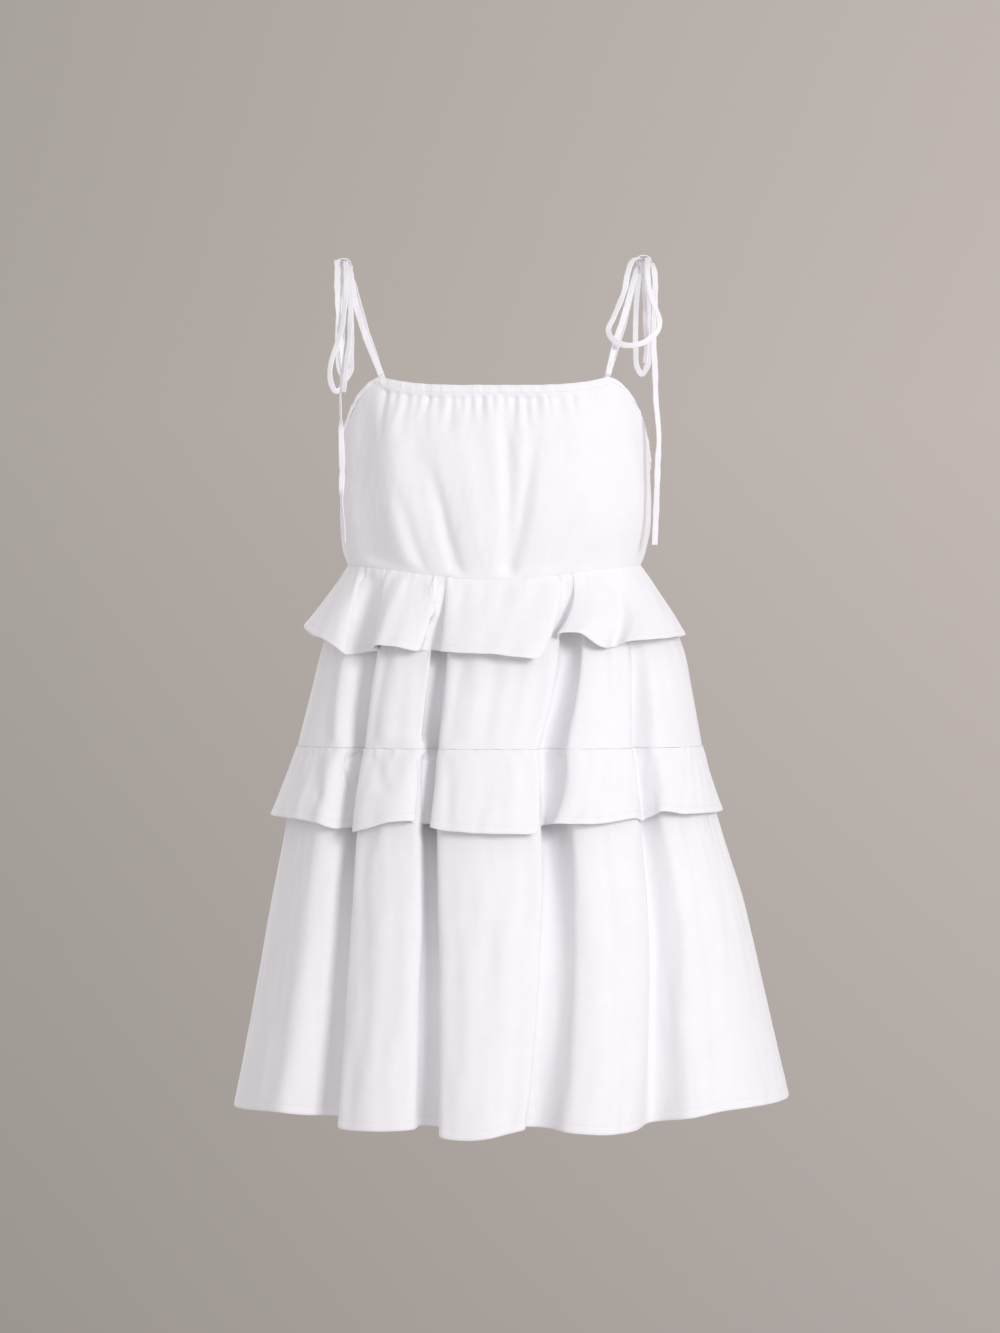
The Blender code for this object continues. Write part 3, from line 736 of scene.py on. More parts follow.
def swept_ribbon(
    name: str, line: Array, frames: tuple[Array, Array], section: tuple[Array, Array], wide: Array
) -> bpy.types.Object:
    """A flat section carried along a line and closed at both ends.

    Args:
        name: The piece's name.
        line: Centre points.
        frames: Directions across the ribbon and out of its face, at each centre point.
        section: Offsets across and out of the points all round the section.
        wide: Factor on the width at each centre point.

    Returns:
        The piece, its cloth map laid along it with the two faces side by side.
    """
    (side, normal), (across, out) = frames, section
    around = len(across)
    grid = (
        line[:, None]
        + side[:, None] * (across * wide[:, None])[..., None]
        + normal[:, None] * out[None, :, None]
    )
    index = np.arange(len(line) * around).reshape(-1, around)
    turned = np.roll(index, -1, axis=1)
    first, last = np.full(around, index.size), np.full(around, index.size + 1)
    caps = (
        np.stack([first, index[0], turned[0], turned[0]], axis=1),
        np.stack([last, turned[-1], index[-1], index[-1]], axis=1),
    )
    faces = np.concatenate([quads_of(index, closed_columns=True)[:, ::-1], *caps])
    mark_u = np.broadcast_to(across + np.where(out > 0, 0, 9), index.shape)
    mark_v = np.broadcast_to(lengths_along(line, 0)[:, None], index.shape)
    uv = np.stack([mark_u, mark_v], axis=-1).reshape(-1, 2) * MM
    points = np.concatenate([grid.reshape(-1, 3), line[[0]], line[[-1]]])
    return new_piece(name, points, faces, np.concatenate([uv, uv[[0]], uv[[-1]]]), sharp=70)


@dataclass
class Ribbon:
    """A narrow flat tube of the dress's own cloth, pressed, its seam along the middle inside.

    An end nearer than near_knot to the knot's centre is led on into it, to the inward shares of
    its offset. Up to upright_from the ribbon's face is upright, and higher up it turns flatter.
    """

    name: str
    width: float = 5.4
    thickness: float = 1.3
    step: float = 1.5
    near_knot: float = 16.0
    inward: tuple[float, float, float] = (0.55, 0.25, 0.7)
    upright_from: float = -60.0
    upright_span: float = 30.0
    flattest: float = 2.5
    wobble: float = 4.0
    hollow: float = 0.28
    seed: int = 3

    def line(self) -> Array:
        """Evenly spaced centre points, led on into the knot at the ends that leave it."""
        route = np.array(ROUTES[self.name], float)
        led = [route]
        knot = np.array(Knot.CENTRES["left" if "left" in self.name else "right"])
        for end, at_start in ((0, True), (-1, False)):
            if np.linalg.norm(route[end] - knot) < self.near_knot:
                inward = knot + (route[end] - knot) * self.inward
                led.insert(0, inward[None]) if at_start else led.append(inward[None])
        route = np.concatenate(led)
        length = lengths_along(route, 0)
        count = max(24, int(length[-1] / self.step) + 1)
        at = np.linspace(0, length[-1], count)
        return np.stack([smooth_curve(length, route[:, k], at) for k in range(3)], axis=1)

    def frames(self, line: Array) -> tuple[Array, Array]:
        """Directions across the ribbon and out of its face, laid against the body and twisted."""
        tangent = unit(np.gradient(line, axis=0))
        rise = (line[:, 2] - self.upright_from) / self.upright_span
        rise = np.clip(rise, 0, self.flattest)
        face = np.stack([np.zeros(len(line)), np.sign(line[:, 1] - 0.01), rise], axis=1)
        side = unit(np.cross(face, tangent))
        normal = np.cross(tangent, side)
        share = np.linspace(0, 1, len(line))
        wobble = seeded_waves(self.seed, share * 400, np.zeros(1), (40, 160), (50, 60), 5)
        turned = self.wobble * wobble
        for turn in TWISTS.get(self.name, ()):
            turned = turned + turn.degrees * smoothstep((share - turn.at) / turn.span + 0.5)
        sin, cos = np.sin(np.radians(turned))[:, None], np.cos(np.radians(turned))[:, None]
        return side * cos + normal * sin, normal * cos - side * sin

    def build(self, material: bpy.types.Material) -> bpy.types.Object:
        """The ribbon: a flat section, hollowed a little along the middle, carried on its line.

        Args:
            material: The cotton's finish.

        Returns:
            The piece.
        """
        line = self.line()
        side, normal = self.frames(line)
        across, out = flat_section(self.width, self.thickness, (0.55, 0.8), 20)
        out = out * (1 - self.hollow * bell(across / (self.width * 0.2)))
        run = lengths_along(line, 0)
        narrow = 1 + 0.05 * seeded_waves(self.seed + 9, run, np.zeros(1), (14, 60), (50, 60), 6)
        piece = swept_ribbon(f"{self.name}_ribbon", line, (side, normal), (across, out), narrow)
        dress_piece(piece, material, [self.name])
        return piece


@dataclass
class Knot:
    """The tied knot on a shoulder: the ribbon wound tightly round the crossing ribbons."""

    CENTRES = {"left": (-143.5, 0.0, 0.0), "right": (141.5, 0.0, 3.0)}

    side: str
    across: float = 6.6
    tall: float = 5.6
    turns: float = 2.35
    width: float = 4.9
    thickness: float = 1.3

    def build(self, material: bpy.types.Material) -> bpy.types.Object:
        """The winding: a flat rounded section carried round a short lying helix.

        Args:
            material: The cotton's finish.

        Returns:
            The piece, which stands for the CAD knot.
        """
        share = np.linspace(0, 1, 150)
        angle = TAU * self.turns * share + 0.6
        grow = 0.92 + 0.13 * share + 0.05 * np.sin(3 * angle)
        line = np.stack(
            [
                self.across * grow * np.cos(angle),
                2.6 * np.sin(TAU * 0.72 * share + 0.4) - 0.4,
                self.tall * grow * np.sin(angle),
            ],
            axis=1,
        ) + np.array(self.CENTRES[self.side])
        tangent = unit(np.gradient(line, axis=0))
        outward = np.stack([np.cos(angle), 0 * angle, np.sin(angle)], axis=1)
        side = unit(np.cross(outward, tangent))
        normal = np.cross(tangent, side)
        section = flat_section(self.width, self.thickness, (0.6, 0.85), 16)
        pinch = 0.8 + 0.2 * np.sin(2.3 * angle)
        name = f"knot_{self.side}_winding"
        piece = swept_ribbon(name, line, (side, normal), section, pinch)
        return dress_piece(piece, material, [f"knot_{self.side}"])


# ---------------------------------------------------------------- form of the body and skirt


class Section(NamedTuple):
    """A level outline of the worn cloth: a squared oval."""

    z: float
    half_width: float
    front_depth: float
    back_depth: float
    centre_x: float
    squareness: float


@dataclass(frozen=True)
class Outline:
    """The cloth's level outlines from the top down, and the surface through them."""

    sections: tuple[Section, ...]

    def standing(self, angle: Array, z: Array, out: Array, drop: Array | float = 0.0) -> Array:
        """Points that stand off the outline.

        The outline's radius in a direction is (|sin|/width^n + |cos|/depth^n)^(-1/n), with each
        size read off the smooth curve through the sections.

        Args:
            angle: Direction round the body.
            z: Level.
            out: Distance out from the outline.
            drop: How far the point is lowered.

        Returns:
            Points in millimetres.
        """
        level = [-s.z for s in self.sections]
        width, front, back, centre, square = (
            smooth_curve(level, [getattr(s, size) for s in self.sections], -np.asarray(z, float))
            for size in Section._fields[1:]
        )
        sin, cos = np.sin(np.radians(angle)), np.cos(np.radians(angle))
        depth = np.where(cos > 0, front, back)
        across, along = np.abs(sin) / width, np.abs(cos) / depth
        radius = (across**square + along**square) ** (-1 / square)
        place = np.stack([centre + radius * sin, -radius * cos], axis=-1)
        outward = np.stack(
            [
                np.sign(sin) * across ** (square - 1) / width,
                -np.sign(cos) * along ** (square - 1) / depth,
            ],
            axis=-1,
        )
        flat = place + unit(outward) * np.asarray(out, float)[..., None]
        height = np.broadcast_to(z - drop, flat.shape[:-1])
        return np.concatenate([flat, height[..., None]], axis=-1)


BODICE_OUTLINE = Outline((
    Section(-115, 146.0, 98, 92, 0.0, 2.5),
    Section(-150, 146.0, 106, 96, 0.0, 2.5),
    Section(-190, 146.5, 113, 99, 0.5, 2.5),
    Section(-225, 147.0, 115, 101, 1.0, 2.5),
    Section(-255, 146.0, 111, 101, 0.5, 2.45),
    Section(-275, 142.0, 104, 99, 0.0, 2.35),
    Section(-286, 138.0, 100, 97, 0.0, 2.3),
))

SKIRT_OUTLINE = Outline((
    Section(-286, 138.0, 100, 97, 0.0, 2.3),
    Section(-310, 149.5, 109, 106, 2.5, 2.25),
    Section(-360, 170.5, 126, 123, 7.5, 2.15),
    Section(-400, 179.5, 137, 134, 7.0, 2.1),
    Section(-456, 191.0, 149, 146, 5.0, 2.0),
    Section(-525, 204.0, 163, 159, 7.5, 2.0),
    Section(-600, 222.0, 175, 171, 12.0, 2.0),
    Section(-690, 240.5, 189, 185, 14.5, 2.0),
    Section(-791, 262.0, 207, 202, 16.0, 2.0),
))


class FoldLine(NamedTuple):
    """A fold line down the skirt: its angle at three seams, its stand-off and its hem's rise."""

    name: str
    waist_at: float
    tier_at: float
    hem_at: float
    tier_out: float
    hem_out: float
    hem_lift: float


FRONT_FOLDS = (
    FoldLine("left_side", -90, -90, -90.0, 0, 0, -4),
    FoldLine("crest_1", -77, -66, -62.5, 2, 4, 7),
    FoldLine("edge_1", -67, -56, -53.5, 0, -7, 7),
    FoldLine("valley_1", -59, -51, -47.5, -22, -52, 2.5),
    FoldLine("edge_2", -50.5, -47, -43.0, -1, -3, 0),
    FoldLine("crest_2", -39, -36, -33.0, 3, 5, 1),
    FoldLine("edge_3", -30, -27, -24.8, 0, -5, 3),
    FoldLine("valley_2", -26, -23.7, -21.3, -26, -60, 1.5),
    FoldLine("edge_4", -22, -20.3, -17.3, 0, -2, -2.5),
    FoldLine("crest_3", 2, -4, -7.8, 4, 7, -2.5),
    FoldLine("edge_5", 29, 12.3, 2.2, 0, -5, 4.5),
    FoldLine("valley_3", 35, 17.2, 6.4, -20, -50, 2),
    FoldLine("edge_6", 40, 25.2, 14.0, 0, -3, 2),
    FoldLine("crest_4", 46, 36, 22.5, 3, 5, 0),
    FoldLine("edge_7", 52, 45.5, 31.0, -2, -9, 0),
    FoldLine("valley_4", 56, 50.8, 38.8, -15, -38, 1),
    FoldLine("edge_8", 61, 55.5, 44.4, 0, -3, 8),
    FoldLine("crest_5", 72, 66, 56.5, 3, 3, 12),
    FoldLine("right_side", 90, 90, 90.0, 0, 0, 5),
)


class BackValley(NamedTuple):
    """A soft valley of the back: its angle, its half width and its depth at two seams."""

    at: float
    half_width: float
    tier_out: float
    hem_out: float


BACK_VALLEYS = (
    BackValley(111, 7.0, -17, -46),
    BackValley(146, 6.5, -24, -58),
    BackValley(178, 7.5, -16, -42),
    BackValley(215, 6.5, -24, -56),
    BackValley(250, 7.0, -18, -48),
)


class Roll(NamedTuple):
    """A fold line over which the cloth rolls past the valley beside it.

    side is -1 where the valley lies on its left and 1 on its right. The three figures say by how
    many degrees the valley's wall goes in under the roll at the waist, the tier seam and the hem,
    and the last is the share of them by which the edge itself moves out over the valley.
    """

    line: str
    side: int
    waist: float
    tier: float
    hem: float
    edge_share: float = 0.25


ROLLS = (
    Roll("edge_1", 1, 1.2, 1.4, 1.0),
    Roll("edge_2", -1, 1.2, 1.5, 1.6),
    Roll("edge_3", 1, 2.4, 2.4, 2.4),
    Roll("edge_4", -1, 0.9, 1.3, 1.4),
    Roll("edge_5", 1, 0.8, 2.6, 2.8),
    Roll("edge_6", -1, 1.8, 1.8, 0.8, 1.0),
    Roll("edge_8", -1, 0.3, 0.4, 0.4),
    *(
        Roll(f"back_edge_{'ab'[number % 2]}_{number}", 1 - 2 * (number % 2), 0.7, 0.9, 1.2)
        for number in range(1, len(BACK_VALLEYS) + 1)
    ),
)


def back_fold_lines() -> tuple[FoldLine, ...]:
    """Fold lines of the back: an edge, a valley and an edge for each of its valleys."""
    rows = []
    for number, valley in enumerate(BACK_VALLEYS, start=1):
        for side, share in ((-1, 0.0), (0, 1.0), (1, 0.0)):
            at = valley.at + side * valley.half_width
            kind = "valley" if side == 0 else f"edge_{'ab'[side > 0]}"
            rows.append(
                FoldLine(
                    f"back_{kind}_{number}", at, at, at, valley.tier_out * share,
                    valley.hem_out * share, -2 * abs(side),
                )
            )
    return tuple(rows)


class Pinch(NamedTuple):
    """How much deeper a valley is pinched about the middle seam than its straight run.

    The pinch grows below a share of the upper tier's height and ends above the hem, where the
    valley is shallower than its straight run by hem_ease.
    """

    line: str
    depth: float
    start: float
    hem_ease: float


PINCHES = (
    Pinch("valley_1", 17, 0.0, 11), Pinch("valley_2", 9, 0.0, 24), Pinch("valley_3", 14, 0.08, 14),
    Pinch("valley_4", 8, 0.45, 0),
    *(
        Pinch(f"back_valley_{number}", 7 if number % 2 else 9, 0.1, 0)
        for number in range(1, len(BACK_VALLEYS) + 1)
    ),
)


@dataclass(frozen=True)
class SkirtFolds:
    """The fold lines round the skirt. A place counts them: 0 is the left side, 18 the right.

    Widths along the hem are in places, and the reach of a pinch is in shares of a tier's height.
    The columns have extra millimetres of run at each rolled edge.
    """

    lines: tuple[FoldLine, ...] = FRONT_FOLDS + back_fold_lines()
    rolls: tuple[Roll, ...] = ROLLS
    split: int = len(FRONT_FOLDS) - 1
    wall_at: float = 0.55
    spread: float = 0.36
    pinch_width: float = 0.55
    pinch_in: float = 0.32
    pinch_out: float = 0.8
    extra: float = 16.0
    extra_span: float = 1.2
    bend: float = 1.4

    def round_the_body(self, values: Sequence[float], place: Array, turn: float = 0.0) -> Array:
        """A figure of the fold lines read off the closed smooth curve through them all."""
        v = list(values)
        v = [x - turn for x in v[-3:]] + v + [x + turn for x in v[:3]]
        return smooth_curve(np.arange(-3, len(self.lines) + 3), v, place)

    def number(self, name: str) -> int:
        """The place of a fold line."""
        return [line.name for line in self.lines].index(name)

    def beside(self, place: Array, name: str) -> Array:
        """How many lines a place is from a fold line, the shorter way round the body."""
        half = len(self.lines) // 2
        return (place - self.number(name) + half) % len(self.lines) - half

    def rolled(self, place: Array, upper: Array, lower: Array) -> Array:
        """Degrees by which rolled edges stand over their valleys' walls.

        Each roll moves the edge itself a share of its figure towards the valley, and the wall
        half a line further on the whole figure back under the edge.
        """
        total = np.zeros(np.broadcast(place, upper).shape)
        for roll in self.rolls:
            size = roll.waist + (roll.tier - roll.waist) * upper + (roll.hem - roll.tier) * lower
            around = self.beside(place, roll.line)
            edge = roll.edge_share * bell(around / self.spread)
            wall = bell((around - roll.side * self.wall_at) / self.spread)
            total = total + roll.side * size * (edge - wall)
        return total

    def pinched(self, place: Array, upper: Array, lower: Array) -> Array:
        """Extra depth of the valleys: bells that grow below the waist and end above the hem."""
        total = np.zeros(np.broadcast(place, upper).shape)
        for pinch in PINCHES:
            on = smoothstep((upper - pinch.start) / self.pinch_in)
            eased = smoothstep(lower / self.pinch_out)
            depth = pinch.depth - (pinch.depth + pinch.hem_ease) * eased
            total = total + on * depth * bell(self.beside(place, pinch.line) / self.pinch_width)
        return total

    def line(self, place: Array, z: Array) -> tuple[Array, Array]:
        """Angle and stand-off of the skirt at a place and a level."""
        waist, tier, hem = (
            self.round_the_body([getattr(x, f"{seam}_at") for x in self.lines], place, TURN)
            for seam in ("waist", "tier", "hem")
        )
        upper = np.clip((WAIST_Z - z) / (WAIST_Z - TIER_Z), 0, 1)
        lower = np.clip((TIER_Z - z) / (TIER_Z - HEM_Z), 0, 1)
        tier_out = self.round_the_body([x.tier_out for x in self.lines], place)
        hem_out = self.round_the_body([x.hem_out for x in self.lines], place)
        angle = waist + (tier - waist) * upper + (hem - tier) * lower**self.bend
        out = tier_out * upper + (hem_out - tier_out) * lower
        out = out - self.pinched(place, upper, lower)
        return angle + self.rolled(place, upper, lower), out

    def columns(self, front: int, back: int) -> Array:
        """Places of the columns, even along the hem with the rolled edges counted double.

        Args:
            front: Columns of the front panel.
            back: Columns of the back panel.

        Returns:
            Places round the whole skirt; the front's are first, and the closing one is left out.
        """
        fine = np.linspace(0, len(self.lines), 8001)
        angle, out = self.line(fine, np.full(fine.shape, (TIER_Z + HEM_Z) / 2))
        points = SKIRT_OUTLINE.standing(angle, np.full(fine.shape, MIDWAY_Z), out)
        run = lengths_along(points, 0)
        for roll in self.rolls:
            centre = self.number(roll.line) + roll.side * self.wall_at / 2
            run = run + self.extra * smoothstep((fine - centre) / self.extra_span + 0.5)
        places = []
        for start, end, count in ((0, self.split, front), (self.split, len(self.lines), back)):
            ends = np.interp([start, end], fine, run)
            places.append(np.interp(np.linspace(*ends, count + 1)[:-1], run, fine))
        return np.concatenate(places)


def waist_drop(angle: Array) -> Array:
    """How far the waist seam hangs lower at the centre front than at the sides."""
    cos = np.cos(np.radians(angle))
    return WAIST_FRONT_DIP * np.where(cos > 0, cos, 0.0) ** 2


class Trough(NamedTuple):
    """A soft trough, or a ridge if its depth is below 0, down a piece of cloth.

    It runs from top_at to low_at, in the piece's own measure round the body, between two shares
    of the piece's height, and its two depths are those at its ends.
    """

    top_at: float
    low_at: float
    start: float
    end: float
    half_width: float
    top_depth: float
    low_depth: float


def troughs(rows: Sequence[Trough], at: Array, down: Array) -> Array:
    """Relief of all troughs: a bell across each one's slanting line, faded in and out along it."""
    total = np.zeros(np.broadcast(at, down).shape)
    for t in rows:
        along = (down - t.start) / (t.end - t.start)
        middle = t.top_at + (t.low_at - t.top_at) * along
        depth = t.top_depth + (t.low_depth - t.top_depth) * np.clip(along, 0, 1)
        total -= depth * between(along, 0.0, 1.0, 0.3) * bell((at - middle) / t.half_width)
    return total


@dataclass(frozen=True)
class Puckers:
    """Small ridges that a gathered seam sends into the cloth, uneven and seeded."""

    seed: int
    spacing: float = 9.0
    height: tuple[float, float] = (0.3, 1.1)
    length: tuple[float, float] = (10.0, 60.0)
    half_width: tuple[float, float] = (1.4, 3.2)
    slant: float = 0.12

    def relief(self, run: Array, below: Array) -> Array:
        """Relief at a distance along the seam and below it.

        Each pucker is a bell across its line, full at the seam and fading over its own length,
        and its line slants a little and widens as it goes.

        Args:
            run: Distance along the seam, one for each column.
            below: Distance below the seam.

        Returns:
            Heights in millimetres.
        """
        draw = np.random.default_rng(self.seed)
        total = np.zeros(np.broadcast(run, below).shape)
        count = int((run.max() - run.min()) / self.spacing)
        centres = np.linspace(run.min(), run.max(), count) + draw.normal(0, self.spacing / 3, count)
        long_tail = draw.random(count) ** 2.2
        lengths = self.length[0] + (self.length[1] - self.length[0]) * long_tail
        heights = draw.uniform(*self.height, count)
        widths = draw.uniform(*self.half_width, count)
        slants = draw.normal(0, self.slant, count)
        for centre, reach, height, width, slant in zip(
            centres, lengths, heights, widths, slants, strict=True
        ):
            near = np.abs(run - centre) < 12 * width + reach * 0.5
            near = np.broadcast_to(near, total.shape).any(axis=0)
            depth = below[:, near] if below.shape[1] > 1 else below
            grown = width * (1 + depth / reach)
            across = (np.broadcast_to(run, total.shape)[:, near] - centre - slant * depth) / grown
            total[:, near] += height * bell(across) * (1 - smoothstep(depth / reach))
        return total


# ---------------------------------------------------------------- sewn cloth


class Groove(NamedTuple):
    """A seam's line in the cloth: how high it stands, below 0 where it sinks, and how wide."""

    height: float
    half_width: float

    def relief(self, away: Array) -> Array:
        """Its relief at a distance from the line."""
        return self.height * bell(away / self.half_width)


ROUND_SEAM = Groove(-0.12, 2.0)
SIDE_SEAM = Groove(-0.3, 1.6)
HEM_STITCHES = Groove(-0.16, 1.1)
HEM_FOLD = Groove(0.14, 2.2)
WAIST_SEAM = Groove(-0.15, 2.2)
BODICE_SIDE = Groove(-0.2, 1.6)


# The four rings of a stitch: place along it, size and lift, in its length, radius and radius.
STITCH = np.array([[-0.5, 0.35, -0.8], [-0.3, 1.0, 0.35], [0.3, 1.0, 0.35], [0.5, 0.35, -0.8]])


@dataclass
class StitchRow:
    """A row of machine stitches laid along a line on the cloth."""

    name: str
    pitch: float = 2.9
    length: float = 2.2
    radius: float = 0.2

    @staticmethod
    def read(at: Array, run: Array, rows: Array) -> Array:
        """Points or directions read at distances along the row."""
        return np.stack([np.interp(at, run, rows[:, k]) for k in range(3)], axis=1)

    def build(self, line: Array, normals: Array, material: bpy.types.Material) -> bpy.types.Object:
        """Capsules of thread, one a pitch: a six-sided rod whose ends dip into the cloth.

        Args:
            line: Points on the cloth, along the row.
            normals: The cloth's outward directions there.
            material: The thread's finish.

        Returns:
            The row as one piece.
        """
        run = lengths_along(line, 0)
        at = np.arange(self.pitch, run[-1] - self.pitch, self.pitch)
        centre = self.read(at, run, line)
        out = unit(self.read(at, run, normals))
        ahead = self.read(at + 0.5, run, line) - centre
        ahead = unit(ahead - out * np.sum(ahead * out, axis=1, keepdims=True))
        side = np.cross(out, ahead)
        ring = np.arange(6) * TAU / 6
        place, size, lift = (STITCH[:, None, k] for k in range(3))
        along = place * self.length
        up = (lift + size * np.sin(ring)) * self.radius
        across = size * np.cos(ring) * self.radius
        rod = (
            along[None, ..., None] * ahead[:, None, None]
            + up[None, ..., None] * out[:, None, None]
            + across[None, ..., None] * side[:, None, None]
            + centre[:, None, None]
        )
        index = np.arange(rod[..., 0].size).reshape(len(at), 4, 6)
        wrapped = np.concatenate([index, index[:, :, :1]], axis=2)
        corners = wrapped[:, :-1, :-1], wrapped[:, :-1, 1:], wrapped[:, 1:, 1:], wrapped[:, 1:, :-1]
        faces = [np.stack(corners, axis=-1).reshape(-1, 4)]
        for row, turn in ((0, -1), (3, 1)):
            end = index[:, row, ::turn]
            faces += [end[:, [0, 1, 2, 3]], end[:, [0, 3, 4, 5]]]
        piece = new_piece(self.name, rod.reshape(-1, 3), np.concatenate(faces))
        return dress_piece(piece, material)


class Underlay:
    """How far a tube of cloth reaches out in each direction at each level."""

    def __init__(
        self, points: Array, directions: int = 900, levels: int = 260, fineness: int = 6000
    ) -> None:
        """Reads the greatest radius off the cloth's surface.

        Each row is drawn out into many points, which are sorted into directions. Each direction
        takes the largest radius of five beside it, then the mean of three such, and then the
        mean of nine levels.

        Args:
            points: The tube's middle surface, rows from the top down.
            directions: Number of directions round the body.
            levels: Number of levels.
            fineness: Number of points drawn out of a row.
        """
        closing = np.concatenate([points, points[:, :1]], axis=1)
        fine = np.linspace(0, closing.shape[1] - 1, fineness)
        low = np.floor(fine).astype(int).clip(0, closing.shape[1] - 2)
        share = (fine - low)[None, :, None]
        dense = closing[:, low] * (1 - share) + closing[:, low + 1] * share
        number = np.round(self.direction(dense) / TURN * directions).astype(int) % directions
        row = np.broadcast_to(np.arange(len(dense))[:, None], number.shape)
        reach = np.zeros((len(dense), directions))
        np.maximum.at(reach, (row, number), np.hypot(dense[..., 0], dense[..., 1]))
        level = np.zeros(reach.shape)
        level[row, number] = dense[..., 2]
        self.levels = np.linspace(dense[..., 2].min(), dense[..., 2].max(), levels)
        evened = [
            np.interp(self.levels, level[::-1, k], reach[::-1, k]) for k in range(directions)
        ]
        widest = np.max([np.roll(evened, k, axis=0) for k in range(-2, 3)], axis=0)
        softened = np.mean([np.roll(widest, k, axis=0) for k in range(-1, 2)], axis=0)
        beside = np.pad(softened, ((0, 0), (4, 4)), mode="edge")
        self.reach = np.mean([beside[:, k:k + levels] for k in range(9)], axis=0).T

    @staticmethod
    def direction(points: Array) -> Array:
        """Direction of points round the body, in degrees from the centre front."""
        return np.degrees(np.arctan2(points[..., 0], -points[..., 1])) % TURN

    @staticmethod
    def evened(shift: Array, steps: int = 2) -> Array:
        """A grid's shifts evened out: the mean over a few steps along both sides of the grid."""
        for axis, mode in ((0, "edge"), (1, "wrap")):
            count = shift.shape[axis]
            around = [(steps, steps) if k == axis else (0, 0) for k in (0, 1)]
            wide = np.pad(shift, around, mode=mode)
            near = [np.take(wide, range(k, k + count), axis) for k in range(2 * steps + 1)]
            shift = np.mean(near, axis=0)
        return shift

    def rest(self, points: Array, clearance: float, share: Array) -> Array:
        """Points moved out level where they are nearer than a clearance, with a soft start.

        The shift is half of the sum of what is missing and the root of its square plus 1, evened
        out over the points beside it.

        Args:
            points: Surface that lies over this one.
            clearance: Wanted distance.
            share: Part of the shift that is made, 0 in the seam.

        Returns:
            The moved points.
        """
        count = self.reach.shape[1]
        at = self.direction(points) / TURN * count
        near = np.floor(at).astype(int)
        side = at - near
        step = (points[..., 2] - self.levels[0]) / (self.levels[1] - self.levels[0])
        step = np.clip(step, 0, len(self.levels) - 1.001)
        row = np.floor(step).astype(int)
        up = step - row
        reach = [
            self.reach[row + k, near % count] * (1 - side)
            + self.reach[row + k, (near + 1) % count] * side
            for k in (0, 1)
        ]
        radius = np.hypot(points[..., 0], points[..., 1])
        missing = reach[0] * (1 - up) + reach[1] * up + clearance - radius
        shift = self.evened((missing + np.sqrt(missing**2 + 1)) / 2) * share
        moved = points.copy()
        moved[..., :2] *= (1 + shift / radius)[..., None]
        return moved


